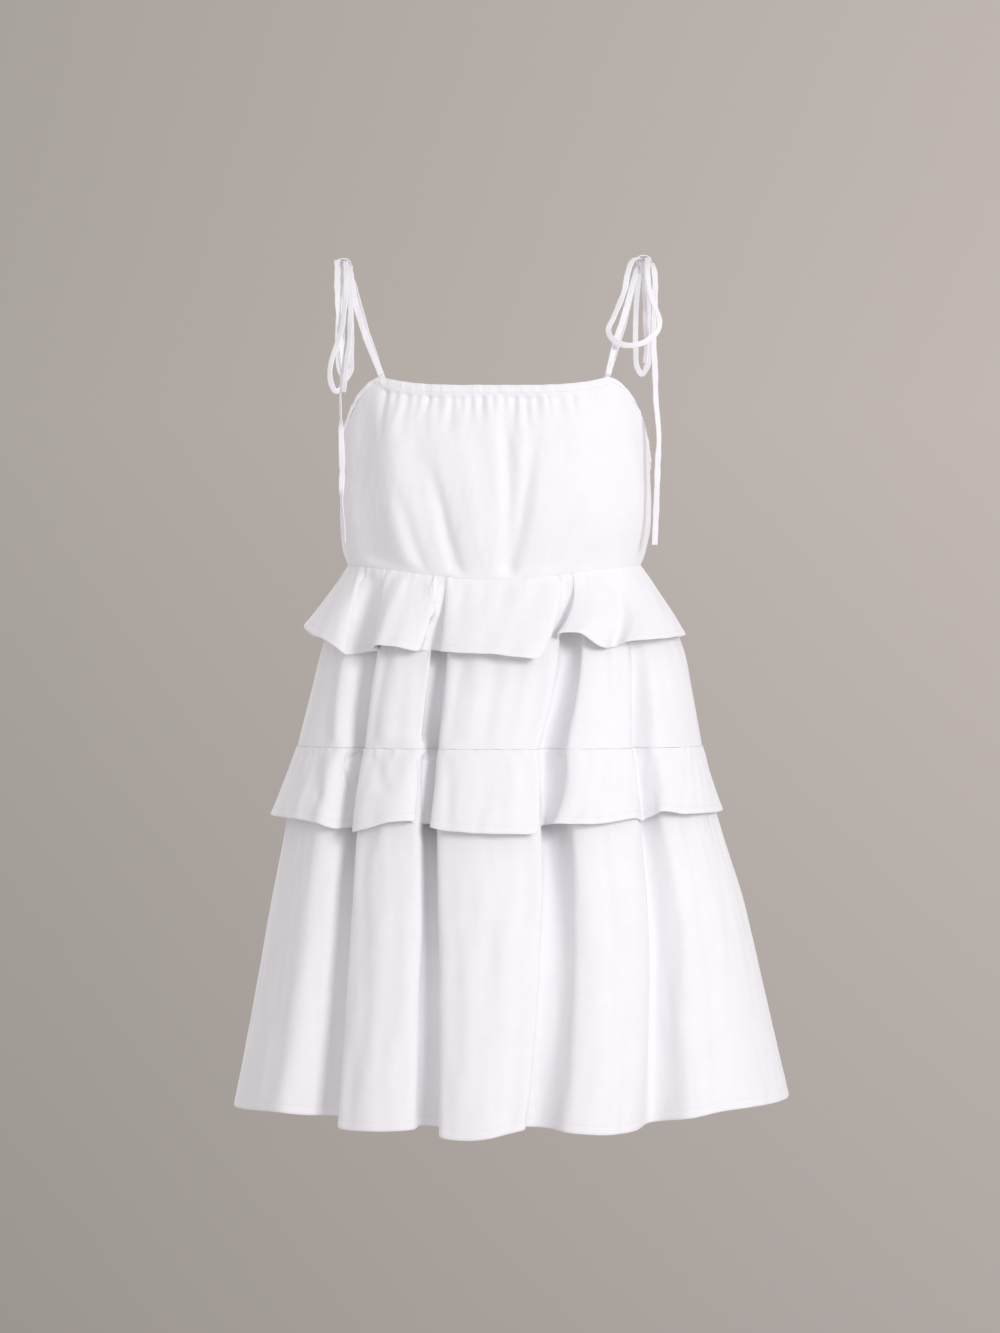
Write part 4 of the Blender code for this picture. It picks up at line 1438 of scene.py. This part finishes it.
@dataclass
class ClothTube:
    """A tube of cloth round the body, cut as a front and a back panel and sewn at the sides."""

    name: str
    folds: SkirtFolds
    places: Array
    split: int
    top: float
    hem: float
    rows: int
    cut: dict[Panel, tuple[float, float, float]]
    seed: int = 1
    puckers: Puckers = Puckers(1)
    crumple: float = 0.3
    creases: tuple[Trough, ...] = ()
    hemmed: float = 7.0
    has_hem: bool = True
    foot_seam: bool = False
    over: "ClothTube | None" = None
    clearance: float = 2.0
    rest_from: float = 0.2
    free_from: float = 12.0
    sewn_up_to: float = 14.0

    def down(self) -> Array:
        """Shares of the height for the rows, closer together at both edges."""
        t = np.linspace(0, 1, self.rows)
        return (0.45 * t + 0.55 * (1 - np.cos(math.pi * t)) / 2)[:, None]

    def form(self, down: Array) -> Array:
        """Middle surface of the cloth, without its fine relief."""
        raise NotImplementedError

    def relief(self, run: Array, below: Array, height: Array, down: Array) -> Array:
        """Fine relief: puckers of the upper seam, listed creases, crumple, seams and hem.

        Args:
            run: Distance along the seam, one for each column.
            below: Distance below the upper seam.
            height: Length of each column.
            down: Share of the height.

        Returns:
            Heights in millimetres.
        """
        above = height - below
        free = smoothstep(below / self.free_from)
        soft = seeded_waves(self.seed, run, below, (16, 75), (90, 420))
        fine = seeded_waves(self.seed + 50, run, below, (7, 22), (30, 140), 18)
        total = self.puckers.relief(run, below) + free * self.crumple * (soft + 0.2 * fine)
        sewn = smoothstep(above / self.sewn_up_to) if self.foot_seam else 1.0
        total = total + free * sewn * troughs(self.creases, self.places[None, :], down)
        total = total + ROUND_SEAM.relief(below)
        if self.foot_seam:
            total = total + ROUND_SEAM.relief(above)
        if self.has_hem:
            total = total + HEM_STITCHES.relief(above - self.hemmed)
            total = total + HEM_FOLD.relief(above - self.hemmed / 2)
        total_run = run.max()
        for side in (0.0, run[0, self.split]):
            away = np.minimum(np.abs(run - side), total_run - np.abs(run - side))
            total = total + SIDE_SEAM.relief(away)
        return total

    def thickness(self, above: Array) -> Array:
        """Thickness of the cloth at a distance above its lower edge."""
        if not self.has_hem:
            return np.full(above.shape, CLOTH)
        return CLOTH + (HEM_CLOTH - CLOTH) * smoothstep((self.hemmed + 0.8 - above) / 1.6)

    def surface(self) -> tuple[Array, Array, Array]:
        """Middle surface with its relief, resting on the tube below, and its lengths.

        Returns:
            The points, the distance along the seam and the distance below it.
        """
        down = self.down()
        middle = self.form(down)
        closing = np.concatenate([middle, middle[:, :1]], axis=1)
        run = lengths_along(closing, 1)[self.rows * 2 // 3][None, :-1]
        below = lengths_along(middle, 0)
        relief = self.relief(run, below, below[-1:], down)
        middle = middle + grid_normals(middle, True) * relief[..., None]
        if self.over:
            under = Underlay(self.over.surface()[0])
            middle = under.rest(middle, self.clearance, smoothstep(down / self.rest_from))
        return middle, run, below

    def build(
        self, cloth: bpy.types.Material, thread: bpy.types.Material
    ) -> dict[Panel, bpy.types.Object]:
        """Both panels as thin closed shells, with their stitched hem where they have one.

        Args:
            cloth: The cotton's finish.
            thread: The thread's finish.

        Returns:
            The panels by name.
        """
        middle, run, below = self.surface()
        height = below[-1:]
        normals = grid_normals(middle, True)
        thick = self.thickness(height - below)[..., None]
        outer = middle + normals * (CLOTH / 2)
        inner = outer - normals * thick
        uv = np.stack([np.broadcast_to(run, below.shape), -below], axis=-1) * MM
        made = {}
        columns = middle.shape[1]
        for panel, chosen in (
            (Panel.FRONT, np.arange(self.split + 1)),
            (Panel.BACK, np.arange(self.split, columns + 1) % columns),
        ):
            marks = uv[:, chosen].copy()
            if panel is Panel.BACK:
                marks[:, -1, 0] = marks[:, -2, 0] + COLUMN_RUN
            sides = outer[:, chosen].copy(), inner[:, chosen].copy()
            for side in sides:
                for edge, step in ((0, 1), (-1, -1)):
                    beside = unit(side[:, edge + step] - side[:, edge])
                    side[:, edge] += SEAM_GAP / 2 * beside
            node = f"{self.name}_{panel.value}"
            shell = thin_shell(f"{node}_cloth", *sides, marks, 1.0 if self.has_hem else SEWN_EDGE)
            piece = dress_piece(shell, cloth, [node])
            if self.has_hem:
                line = self.on_row(sides[0], self.hemmed)
                towards = self.on_row(normals[:, chosen], self.hemmed, below[:, chosen])
                row = StitchRow(f"{node}_hem_stitches")
                row.build(line, towards, thread)
            made[panel] = piece
        return made

    def on_row(self, grid: Array, above: float, lengths: Array | None = None) -> Array:
        """Values of a grid at a distance above its lower edge, read between its rows.

        Args:
            grid: Rows of points or directions.
            above: The distance.
            lengths: Distances down each column, where the grid isn't points.

        Returns:
            One value for each column.
        """
        lengths = lengths_along(grid, 0) if lengths is None else lengths
        wanted = lengths[-1] - above
        row = np.sum(lengths < wanted, axis=0).clip(1, len(grid) - 1)
        column = np.arange(grid.shape[1])
        low, high = lengths[row - 1, column], lengths[row, column]
        share = ((wanted - low) / (high - low))[:, None]
        return grid[row - 1, column] * (1 - share) + grid[row, column] * share


@dataclass
class SkirtTier(ClothTube):
    """A skirt tier, which starts inside the ruffle sewn into the same seam."""

    tucked_to: float = 1.0

    def form(self, down: Array) -> Array:
        """The folded skirt between the tier's two levels, tucked in along its level normals."""
        place = self.places[None, :]
        z = self.top + (self.hem - self.top) * down
        angle, out = self.folds.line(place, z)
        drop = waist_drop(angle) * np.clip((TIER_Z - z) / (TIER_Z - WAIST_Z), 0, 1)
        lower = np.clip((TIER_Z - z) / (TIER_Z - HEM_Z), 0, 1)
        rise = self.folds.round_the_body([x.hem_lift for x in self.folds.lines], place)
        points = SKIRT_OUTLINE.standing(angle, z, out, drop - rise * lower**2)
        tuck = TUCK * (1 - smoothstep(down / self.tucked_to))
        return points - grid_normals(points, True) * tuck[..., None]


class Wave(NamedTuple):
    """A ruffle's hem at a fold line: its stand-off, its sway in degrees and its rise."""

    line: str
    out: float
    sway: float
    lift: float


PEPLUM_WAVES = (
    Wave("left_side", 22.5, 0, 22),
    Wave("crest_1", 20, 4.5, 10.5),
    Wave("edge_1", 17, 4, -0.5),
    Wave("valley_1", 7, 2.6, 1.5),
    Wave("edge_2", 15, 1.2, 3),
    Wave("crest_2", 22, -1.8, 7),
    Wave("edge_3", 16, -3.4, 4),
    Wave("valley_2", 8.5, -2.6, 5.5),
    Wave("edge_4", 16, -1.3, 4.5),
    Wave("crest_3", 19, -3.6, 3.5),
    Wave("edge_5", 18, -6.9, -2),
    Wave("valley_3", 6, -9.7, 11),
    Wave("edge_6", 17, -10.8, 20),
    Wave("crest_4", 21, -12.5, 18.5),
    Wave("edge_7", 15, -12.3, 4.5),
    Wave("valley_4", 10, -10.6, 4),
    Wave("edge_8", 17, -12, 8.5),
    Wave("crest_5", 19, -12.5, 9.5),
    Wave("right_side", 4, 0, 14),
)

RUFFLE_WAVES = (
    Wave("left_side", 16, 0, 1.5),
    Wave("crest_1", 15, 2.6, 1.5),
    Wave("edge_1", 12, 2.6, -5.5),
    Wave("valley_1", 17.5, 1.5, -5.5),
    Wave("edge_2", 14, 1.5, -8),
    Wave("crest_2", 15, 1.3, 1.5),
    Wave("edge_3", 11, 0.9, 4),
    Wave("valley_2", 14, -0.3, 0),
    Wave("edge_4", 13, -1, -2.5),
    Wave("crest_3", 14, -2.3, -6.5),
    Wave("edge_5", 15, -1.5, -6.5),
    Wave("valley_3", 17, -4.6, -2),
    Wave("edge_6", 13, -7, 1.5),
    Wave("crest_4", 14, -6.5, 1),
    Wave("edge_7", 12, -3.8, 4.5),
    Wave("valley_4", 13, -2.5, 1),
    Wave("edge_8", 12, -4.8, 10),
    Wave("crest_5", 12, -6.4, 7),
    Wave("right_side", 5.5, 0, 5.5),
)


class BackWaves(NamedTuple):
    """A ruffle over the back: how far its hem stands off and rises on crests and in valleys."""

    crest_out: float
    valley_out: float
    crest_lift: float
    valley_lift: float


@dataclass
class Ruffle(ClothTube):
    """A flared ruffle sewn into a seam over the tier below it."""

    waves: tuple[Wave, ...] = ()
    back: BackWaves = BackWaves(18, 8, 4, 16)
    out_span: float = 45.0
    lift_span: float = 25.0
    flare: float = 1.2

    def all_waves(self) -> tuple[Wave, ...]:
        """The front's waves and the back's, which blend in from the side seams' own."""
        rows = list(self.waves)
        for line in self.folds.lines[self.folds.split + 1:]:
            side = self.waves[-1] if line.tier_at < 180 else self.waves[0]
            away = 90 - abs(line.tier_at - 180)
            valley = "valley" in line.name
            out = self.back.valley_out if valley else self.back.crest_out
            lift = self.back.valley_lift if valley else self.back.crest_lift
            out = side.out + (out - side.out) * smoothstep(away / self.out_span)
            lift = side.lift + (lift - side.lift) * smoothstep(away / self.lift_span)
            rows.append(Wave(line.name, float(out), 0, float(lift)))
        return tuple(rows)

    def form(self, down: Array) -> Array:
        """The skirt's surface, moved out, swayed and lifted more towards the ruffle's hem."""
        waves, place = self.all_waves(), self.places[None, :]
        lift, sway, off = (
            self.folds.round_the_body([getattr(w, k) for w in waves], place)
            for k in ("lift", "sway", "out")
        )
        z = self.top + (self.hem - self.top + lift) * down
        angle, out = self.folds.line(place, z)
        drop = waist_drop(angle) * np.clip((TIER_Z - z) / (TIER_Z - WAIST_Z), 0, 1)
        return SKIRT_OUTLINE.standing(angle + sway * down**2, z, out + off * down**self.flare, drop)


# ---------------------------------------------------------------- bodice


class Gather(NamedTuple):
    """A gather that the neck casing draws in: its angle, its depth and its length."""

    at: float
    depth: float
    length: float


FRONT_GATHERS = (
    Gather(-50, 2.6, 46),
    Gather(-45.5, 2.4, 34),
    Gather(-41, 2.6, 52),
    Gather(-36.5, 2.0, 26),
    Gather(-32, 2.4, 38),
    Gather(-27, 2.2, 30),
    Gather(-21, 2.4, 44),
    Gather(-17, 1.6, 24),
    Gather(-12, 1.8, 30),
    Gather(-6, 1.8, 34),
    Gather(-1, 1.2, 20),
    Gather(5, 1.6, 28),
    Gather(9.5, 3.0, 46),
    Gather(15.5, 3.2, 40),
    Gather(20.5, 2.2, 30),
    Gather(26, 1.4, 22),
    Gather(31, 2.0, 26),
    Gather(37, 1.4, 20),
    Gather(44, 1.2, 18),
)


class Crease(NamedTuple):
    """A long soft crease of the bodice, from (top_at, top_z) to (low_at, low_z)."""

    top_at: float
    top_z: float
    low_at: float
    low_z: float
    half_width: float
    depth: float


FRONT_CREASES = (
    Crease(5.5, -122, 6.0, -300, 3.6, 4.6),
    Crease(19, -158, 7.5, -292, 3.4, 4.0),
    Crease(-30, -188, -15, -300, 3.2, 4.2),
    Crease(-42, -205, -33, -300, 3.0, 3.2),
    Crease(-25, -225, -20, -300, 2.6, 2.2),
    Crease(33, -215, 26, -300, 5.0, 1.6),
)


def top_edge(angle: Array) -> Array:
    """Height of the finished top edge: two dipping necklines and two armholes."""
    turned = (np.asarray(angle, float) + 90) % TURN - 90
    back = turned > 90
    from_centre = np.abs(np.where(back, turned - 180, turned))
    dip = np.where(back, BACK_NECK_DIP, FRONT_NECK_DIP)
    neckline = CORNER_Z - dip * (1 - np.minimum(from_centre / CORNER_AT, 1) ** 4)
    up = (90 - from_centre) / (90 - CORNER_AT)
    armhole = UNDERARM_Z + (CORNER_Z - UNDERARM_Z) * smoothstep(up)
    return np.where(from_centre <= CORNER_AT, neckline, armhole)


def band_height(angle: Array) -> Array:
    """Height of the casing or binding that finishes the top edge."""
    turned = (np.asarray(angle, float) + 90) % 180 - 90
    return np.where(np.abs(turned) <= CORNER_AT, CASING_HEIGHT, BINDING_HEIGHT)


@dataclass
class Bodice:
    """The blousy bodice: gathered into the neck casings, bound at the armholes."""

    columns: dict[Panel, int] = field(
        default_factory=lambda: {Panel.FRONT: 300, Panel.BACK: 240}
    )
    rows: int = 96
    back_gathers: int = 12
    small_gathers: int = 34
    drawn_in: float = 1.35
    long_gather: float = 22.0
    crease_start: float = 0.4
    back_gather: tuple[float, float] = (1.9, 40)
    small_depth: tuple[float, float] = (0.25, 0.8)
    small_length: tuple[float, float] = (7, 20)
    crumple: tuple[float, float] = (0.32, 0.06)
    still_at_waist: float = 12.0
    still_at_top: float = 14.0
    seed: int = 21
    cut: dict[Panel, tuple[float, float, float]] = field(
        default_factory=lambda: {
            Panel.FRONT: (0.44, 0.19, 0.070), Panel.BACK: (0.42, 0.19, 0.066),
        }
    )

    def gathers(self) -> tuple[Gather, ...]:
        """The main gathers of the front, even ones behind, and small seeded ones between."""
        span = 2 * CORNER_AT - 8
        behind = tuple(
            Gather(180 - span / 2 + span * k / (self.back_gathers - 1), *self.back_gather)
            for k in range(self.back_gathers)
        )
        draw = np.random.default_rng(self.seed)
        small = tuple(
            Gather(centre + at, depth, length)
            for centre in (0, 180)
            for at, depth, length in zip(
                draw.uniform(-CORNER_AT + 2, CORNER_AT - 2, self.small_gathers),
                draw.uniform(*self.small_depth, self.small_gathers),
                draw.uniform(*self.small_length, self.small_gathers),
                strict=True,
            )
        )
        return FRONT_GATHERS + behind + small

    def gathered(self, angle: Array, below: Array) -> Array:
        """Relief of the gathers: a narrow valley between two ridges, fading downwards."""
        total = np.zeros(np.broadcast(angle, below).shape)
        for g in self.gathers():
            width = 2.2 if g.length > self.long_gather else 1.3
            away = (np.asarray(angle) - g.at + 180) % TURN - 180
            along = smoothstep(below / 5.0) * (1 - smoothstep((below - 5.0) / g.length))
            near = away / (width * (1 + 0.35 * np.clip(below / g.length, 0, 1)))
            depth = self.drawn_in * g.depth * along
            total = total - depth * bell(near) * (1 - 0.35 * near**2)
        return total

    def creased(self, angle: Array, z: Array) -> Array:
        """Relief of the long creases."""
        total = np.zeros(np.broadcast(angle, z).shape)
        for c in FRONT_CREASES:
            along = (c.top_z - z) / (c.top_z - c.low_z)
            middle = c.top_at + (c.low_at - c.top_at) * along
            across = bell((angle - middle) / c.half_width)
            total = total - c.depth * smoothstep(along / self.crease_start) * across
        return total

    def points(self, angle: Array, z: Array, fine: bool = True) -> Array:
        """Middle surface of the bodice's cloth at an angle and a level.

        Args:
            angle: Direction round the body.
            z: Level before the waist seam's dip.
            fine: Whether it has the crumple, the break towards the left side and the seams' grooves
                too.

        Returns:
            Points in millimetres.
        """
        below = top_edge(angle) - band_height(angle) - z
        on_waist = smoothstep((z - WAIST_Z) / self.still_at_waist)
        out = self.gathered(angle, np.maximum(below, 0)) + on_waist * self.creased(angle, z)
        if fine:
            run, deep = np.asarray(angle) * RUN_PER_DEGREE, -z + 0 * angle
            free = smoothstep(below / self.still_at_top) * on_waist
            soft = seeded_waves(self.seed, run, deep, (26, 110), (90, 360))
            small = seeded_waves(self.seed + 5, run, deep, (8, 24), (20, 90), 16)
            out = out + free * (self.crumple[0] * soft + self.crumple[1] * small)
            out = out + on_waist * BREAK_LEFT.relief(angle, z)
            out = out + WAIST_SEAM.relief(z - WAIST_Z)
            for side in (-90, 90, 270):
                out = out + BODICE_SIDE.relief((angle - side) * SIDE_RUN)
        dip = waist_drop(angle) * smoothstep((UNDERARM_Z - z) / (UNDERARM_Z - WAIST_Z))
        return BODICE_OUTLINE.standing(angle, z, out, dip)

    def angles(self, panel: Panel) -> Array:
        """Angles of a panel's columns, evenly spaced along the cloth."""
        start = -90.0 if panel is Panel.FRONT else 90.0
        fine = np.linspace(start, start + 180, 2001)
        line = BODICE_OUTLINE.standing(fine, np.full(fine.shape, -150.0), 0 * fine)
        run = lengths_along(line, 0)
        return np.interp(np.linspace(0, run[-1], self.columns[panel]), run, fine)

    def build(self, cloth: bpy.types.Material) -> None:
        """Both panels as thin closed shells, from inside the bands down to the waist seam."""
        t = np.linspace(0, 1, self.rows)[:, None]
        down = 0.5 * t + 0.5 * (1 - np.cos(math.pi * t)) / 2
        for panel in Panel:
            angle = self.angles(panel)[None, :]
            gap = math.degrees(SEAM_GAP / 2 / BODICE_OUTLINE.sections[0].half_width)
            angle[0, 0] += gap
            angle[0, -1] -= gap
            top = top_edge(angle) - band_height(angle) + 1.2
            z = top + (WAIST_Z + SEWN_GAP - top) * down
            middle = self.points(angle, z)
            normals = grid_normals(middle, False)
            half = normals * CLOTH / 2
            run = lengths_along(middle, 1)[self.rows // 2][None, :]
            uv = np.stack([np.broadcast_to(run, z.shape), z], axis=-1) * MM
            node = f"bodice_{panel.value}"
            piece = thin_shell(f"{node}_cloth", middle + half, middle - half, uv, SEWN_EDGE)
            dress_piece(piece, cloth, [node])


@dataclass(frozen=True)
class Break:
    """A line down the bodice at which the cloth turns to the side: a ridge beside a hollow."""

    top_at: float
    low_at: float
    top_z: float
    low_z: float
    ridge: float
    ridge_width: float
    hollow: float
    hollow_off: float
    hollow_width: float

    def relief(self, angle: Array, z: Array) -> Array:
        """Relief of the ridge and of the hollow beyond it."""
        along = (self.top_z - z) / (self.top_z - self.low_z)
        middle = self.top_at + (self.low_at - self.top_at) * along
        on = between(along, 0.0, 1.0, 0.35)
        ridge = self.ridge * bell((angle - middle) / self.ridge_width)
        hollow = self.hollow * bell((angle - middle - self.hollow_off) / self.hollow_width)
        return on * (ridge - hollow)


BREAK_LEFT = Break(-46, -39, -135, -300, 4.6, 6.5, 4.5, -17.0, 9.5)


@dataclass
class Band:
    """A narrow folded band on the top edge: a neck casing or an armhole binding."""

    name: str
    start: float
    end: float
    height: float
    bodice: Bodice
    cut: tuple[float, float, float]
    rows: int = 12
    step: float = 1.3
    seam: float = 0.9
    puff: float = 1.5
    ripple: float = 0.28
    seed: int = 31

    def build(self, cloth: bpy.types.Material, thread: bpy.types.Material) -> bpy.types.Object:
        """The band, a flattened tube: the cloth's line plus a half-round puff on both faces.

        Args:
            cloth: The cotton's finish.
            thread: The thread's finish.

        Returns:
            The piece.
        """
        count = int((self.end - self.start) * RUN_PER_DEGREE / self.step)
        gap = math.degrees(SEAM_GAP / 2 / BODICE_OUTLINE.sections[0].half_width)
        angle = np.linspace(self.start + gap, self.end - gap, count)[None, :]
        t = np.linspace(0, 1, self.rows)[:, None]
        z = top_edge(angle) - self.height * t
        middle = self.bodice.points(angle, z, fine=False)
        normals = grid_normals(middle, False)
        run = lengths_along(middle, 1)[0][None, :]
        wave = seeded_waves(self.seed, run, t * 20, (4.5, 15), (60, 200), 16)
        puff = self.seam + self.puff * np.sqrt(np.clip(1 - (2 * t - 1) ** 2, 0, 1))
        thick = puff + self.ripple * wave * np.sin(math.pi * t)
        crumple = 0.25 * seeded_waves(self.seed + 1, run, t * 8, (8, 40), (40, 90), 10)
        outer = middle + normals * (thick / 2 + crumple)[..., None]
        inner = middle + normals * (crumple - puff / 2)[..., None]
        uv = np.stack([np.broadcast_to(z, wave.shape), np.broadcast_to(run, wave.shape)], axis=-1)
        piece = thin_shell(f"{self.name}_cloth", outer, inner, uv * MM)
        dress_piece(piece, cloth, [self.name])
        row = StitchRow(f"{self.name}_stitches", pitch=2.6, length=1.9, radius=0.17)
        line = outer[-2] * 0.6 + outer[-3] * 0.4
        stitches = row.build(line, normals[-2], thread)
        return piece


# ---------------------------------------------------------------- the dress


# Places count fold lines, as the skirt's columns do; heights are shares of the tier's own.
PEPLUM_CREASES = (
    Trough(4.5, 4.4, 0.05, 1.4, 0.3, -3.0, -5.0),
    Trough(2.7, 2.2, 0.0, 1.4, 0.45, 5.0, 8.0),
    Trough(8.35, 8.2, 0.0, 0.9, 0.1, 1.2, 0.5),
    Trough(8.75, 8.65, 0.0, 0.6, 0.08, 1.0, 0.4),
    Trough(10.9, 10.2, 0.0, 1.3, 0.35, 3.0, 5.0),
)

UPPER_CREASES = (
    Trough(6.35, 6.3, 0.0, 1.4, 0.5, 4.5, 4.5),
    Trough(4.75, 4.75, 0.1, 1.3, 0.28, -2.5, -2.5),
    Trough(1.35, 1.2, 0.25, 1.2, 0.3, 2.0, 2.5),
    Trough(1.75, 1.7, 0.3, 1.2, 0.2, -1.5, -2.0),
    Trough(4.35, 4.3, 0.3, 1.2, 0.14, 1.6, 1.2),
    Trough(5.55, 5.7, 0.25, 1.2, 0.24, 1.6, 1.8),
    Trough(8.3, 8.25, 0.3, 1.2, 0.1, 2.2, 1.4),
    Trough(8.62, 8.6, 0.25, 1.0, 0.09, -1.6, -0.8),
    Trough(8.95, 8.92, 0.25, 1.0, 0.1, 2.4, 0.8),
    Trough(9.35, 9.3, 0.3, 0.9, 0.09, 1.2, 0.5),
    Trough(9.7, 9.7, 0.3, 1.2, 0.14, 1.4, 1.8),
    Trough(12.9, 12.8, 0.3, 1.2, 0.18, 1.8, 1.4),
    Trough(13.6, 13.5, 0.35, 1.1, 0.14, 1.0, 1.0),
)

RUFFLE_CREASES = (
    Trough(6.3, 6.2, 0.0, 1.4, 0.5, 3.0, 4.5),
    Trough(1.7, 1.6, 0.0, 1.3, 0.35, -3.0, -4.0),
    Trough(1.15, 1.45, 0.1, 0.7, 0.22, 2.0, 2.4),
    Trough(1.45, 1.05, 0.5, 1.3, 0.24, 1.5, 2.6),
    Trough(4.45, 4.9, 0.05, 0.6, 0.2, 2.0, 1.6),
    Trough(4.9, 4.5, 0.4, 1.3, 0.22, 1.0, 1.8),
    Trough(8.25, 8.45, 0.05, 1.3, 0.12, 1.4, 2.6),
    Trough(9.75, 9.85, 0.1, 1.3, 0.16, 1.0, 2.2),
    Trough(12.85, 12.6, 0.1, 0.8, 0.16, 1.8, 1.0),
    Trough(13.5, 13.6, 0.1, 1.2, 0.16, 1.2, 1.2),
)

LOWER_CREASES = (
    Trough(1.5, 1.35, 0.1, 1.3, 0.42, -3.5, -7.0),
    Trough(4.9, 4.8, 0.1, 1.3, 0.35, -2.0, -3.5),
    Trough(4.5, 4.45, 0.15, 1.2, 0.3, 1.2, 1.6),
    Trough(8.35, 8.35, 0.1, 1.2, 0.2, 1.0, 1.8),
    Trough(9.0, 9.0, 0.2, 0.7, 0.14, 0.6, 0.3),
    Trough(9.65, 9.6, 0.1, 1.2, 0.2, 1.4, 2.6),
    Trough(12.6, 12.9, 0.1, 0.9, 0.14, 1.6, 1.2),
    Trough(13.2, 13.5, 0.1, 1.2, 0.16, 1.2, 1.6),
    Trough(16.6, 16.8, 0.1, 1.2, 0.22, 1.6, 2.4),
)


@dataclass
class Dress:
    """The whole dress, built from its shoulders down."""

    columns: int = 290
    upper_columns: int = 230

    def build_ribbons(self, cloth: bpy.types.Material) -> None:
        """Straps, bow loops and tails, then the knots that hold them."""
        for number, name in enumerate(ROUTES):
            Ribbon(name, seed=40 + number).build(cloth)
        for side in Knot.CENTRES:
            Knot(side).build(cloth)

    def build_bodice(self, cloth: bpy.types.Material, thread: bpy.types.Material) -> None:
        """The bodice and the four bands on its top edge."""
        bodice = Bodice()
        bodice.build(cloth)
        casing, binding = CASING_HEIGHT, BINDING_HEIGHT
        for number, (name, start, end, height, cut) in enumerate((
            ("neck_casing_front", -CORNER_AT, CORNER_AT, casing, (0.26, 0.010, 0.0024)),
            ("neck_casing_back", 180 - CORNER_AT, 180 + CORNER_AT, casing, (0.25, 0.010, 0.0023)),
            ("armhole_binding_right", CORNER_AT, 180 - CORNER_AT, binding, (0.22, 0.010, 0.0012)),
            (
                "armhole_binding_left", 180 + CORNER_AT, TURN - CORNER_AT, binding,
                (0.22, 0.010, 0.0012),
            ),
        )):
            Band(name, start, end, height, bodice, cut, seed=31 + number).build(cloth, thread)

    def build_skirt(self, cloth: bpy.types.Material, thread: bpy.types.Material) -> None:
        """Both tiers and both ruffles."""
        folds = SkirtFolds()
        gap = SEWN_GAP
        wide = folds.columns(self.columns, self.columns)
        slim = folds.columns(self.upper_columns, self.upper_columns)
        upper = SkirtTier(
            "upper_skirt", folds, slim, self.upper_columns, WAIST_Z - gap, TIER_Z + gap, rows=60,
            cut={Panel.FRONT: (0.62, 0.17, 0.105), Panel.BACK: (0.61, 0.17, 0.102)},
            puckers=Puckers(5), creases=UPPER_CREASES, has_hem=False, foot_seam=True, seed=61,
        )
        lower = SkirtTier(
            "lower_skirt", folds, wide, self.columns, TIER_Z - gap, HEM_Z, rows=110,
            cut={Panel.FRONT: (0.95, 0.345, 0.296), Panel.BACK: (0.98, 0.345, 0.316)},
            puckers=Puckers(6, length=(20, 130)), creases=LOWER_CREASES, tucked_to=0.3, seed=62,
        )
        peplum = Ruffle(
            "peplum", folds, wide, self.columns, WAIST_Z - gap, PEPLUM_HEM_Z, rows=40,
            cut={Panel.FRONT: (0.62, 0.085, 0.046), Panel.BACK: (0.60, 0.085, 0.044)},
            puckers=Puckers(7, spacing=7.5), seed=63, waves=PEPLUM_WAVES, creases=PEPLUM_CREASES,
            back=BackWaves(18, 8, 4, 16), over=upper,
        )
        ruffle = Ruffle(
            "ruffle", folds, wide, self.columns, TIER_Z - gap, RUFFLE_HEM_Z, rows=36,
            cut={Panel.FRONT: (0.80, 0.075, 0.059), Panel.BACK: (0.78, 0.075, 0.057)},
            puckers=Puckers(8, spacing=8.5, length=(8, 45)), seed=64, waves=RUFFLE_WAVES,
            creases=RUFFLE_CREASES, back=BackWaves(16, 8, -2, 2), over=lower,
        )
        for tube in (upper, lower, peplum, ruffle):
            tube.build(cloth, thread)


def main() -> None:
    """Builds the camera, the ribbons, the cloth and the studio, in that order."""
    logging.basicConfig(level=logging.INFO, format="%(name)s: %(message)s")
    studio = Studio()
    studio.place_camera()
    cloth, thread = Cotton().material(), Thread().material()
    dress = Dress()
    dress.build_ribbons(cloth)
    dress.build_bodice(cloth, thread)
    dress.build_skirt(cloth, thread)
    studio.build()


if __name__ == "__main__":
    main()
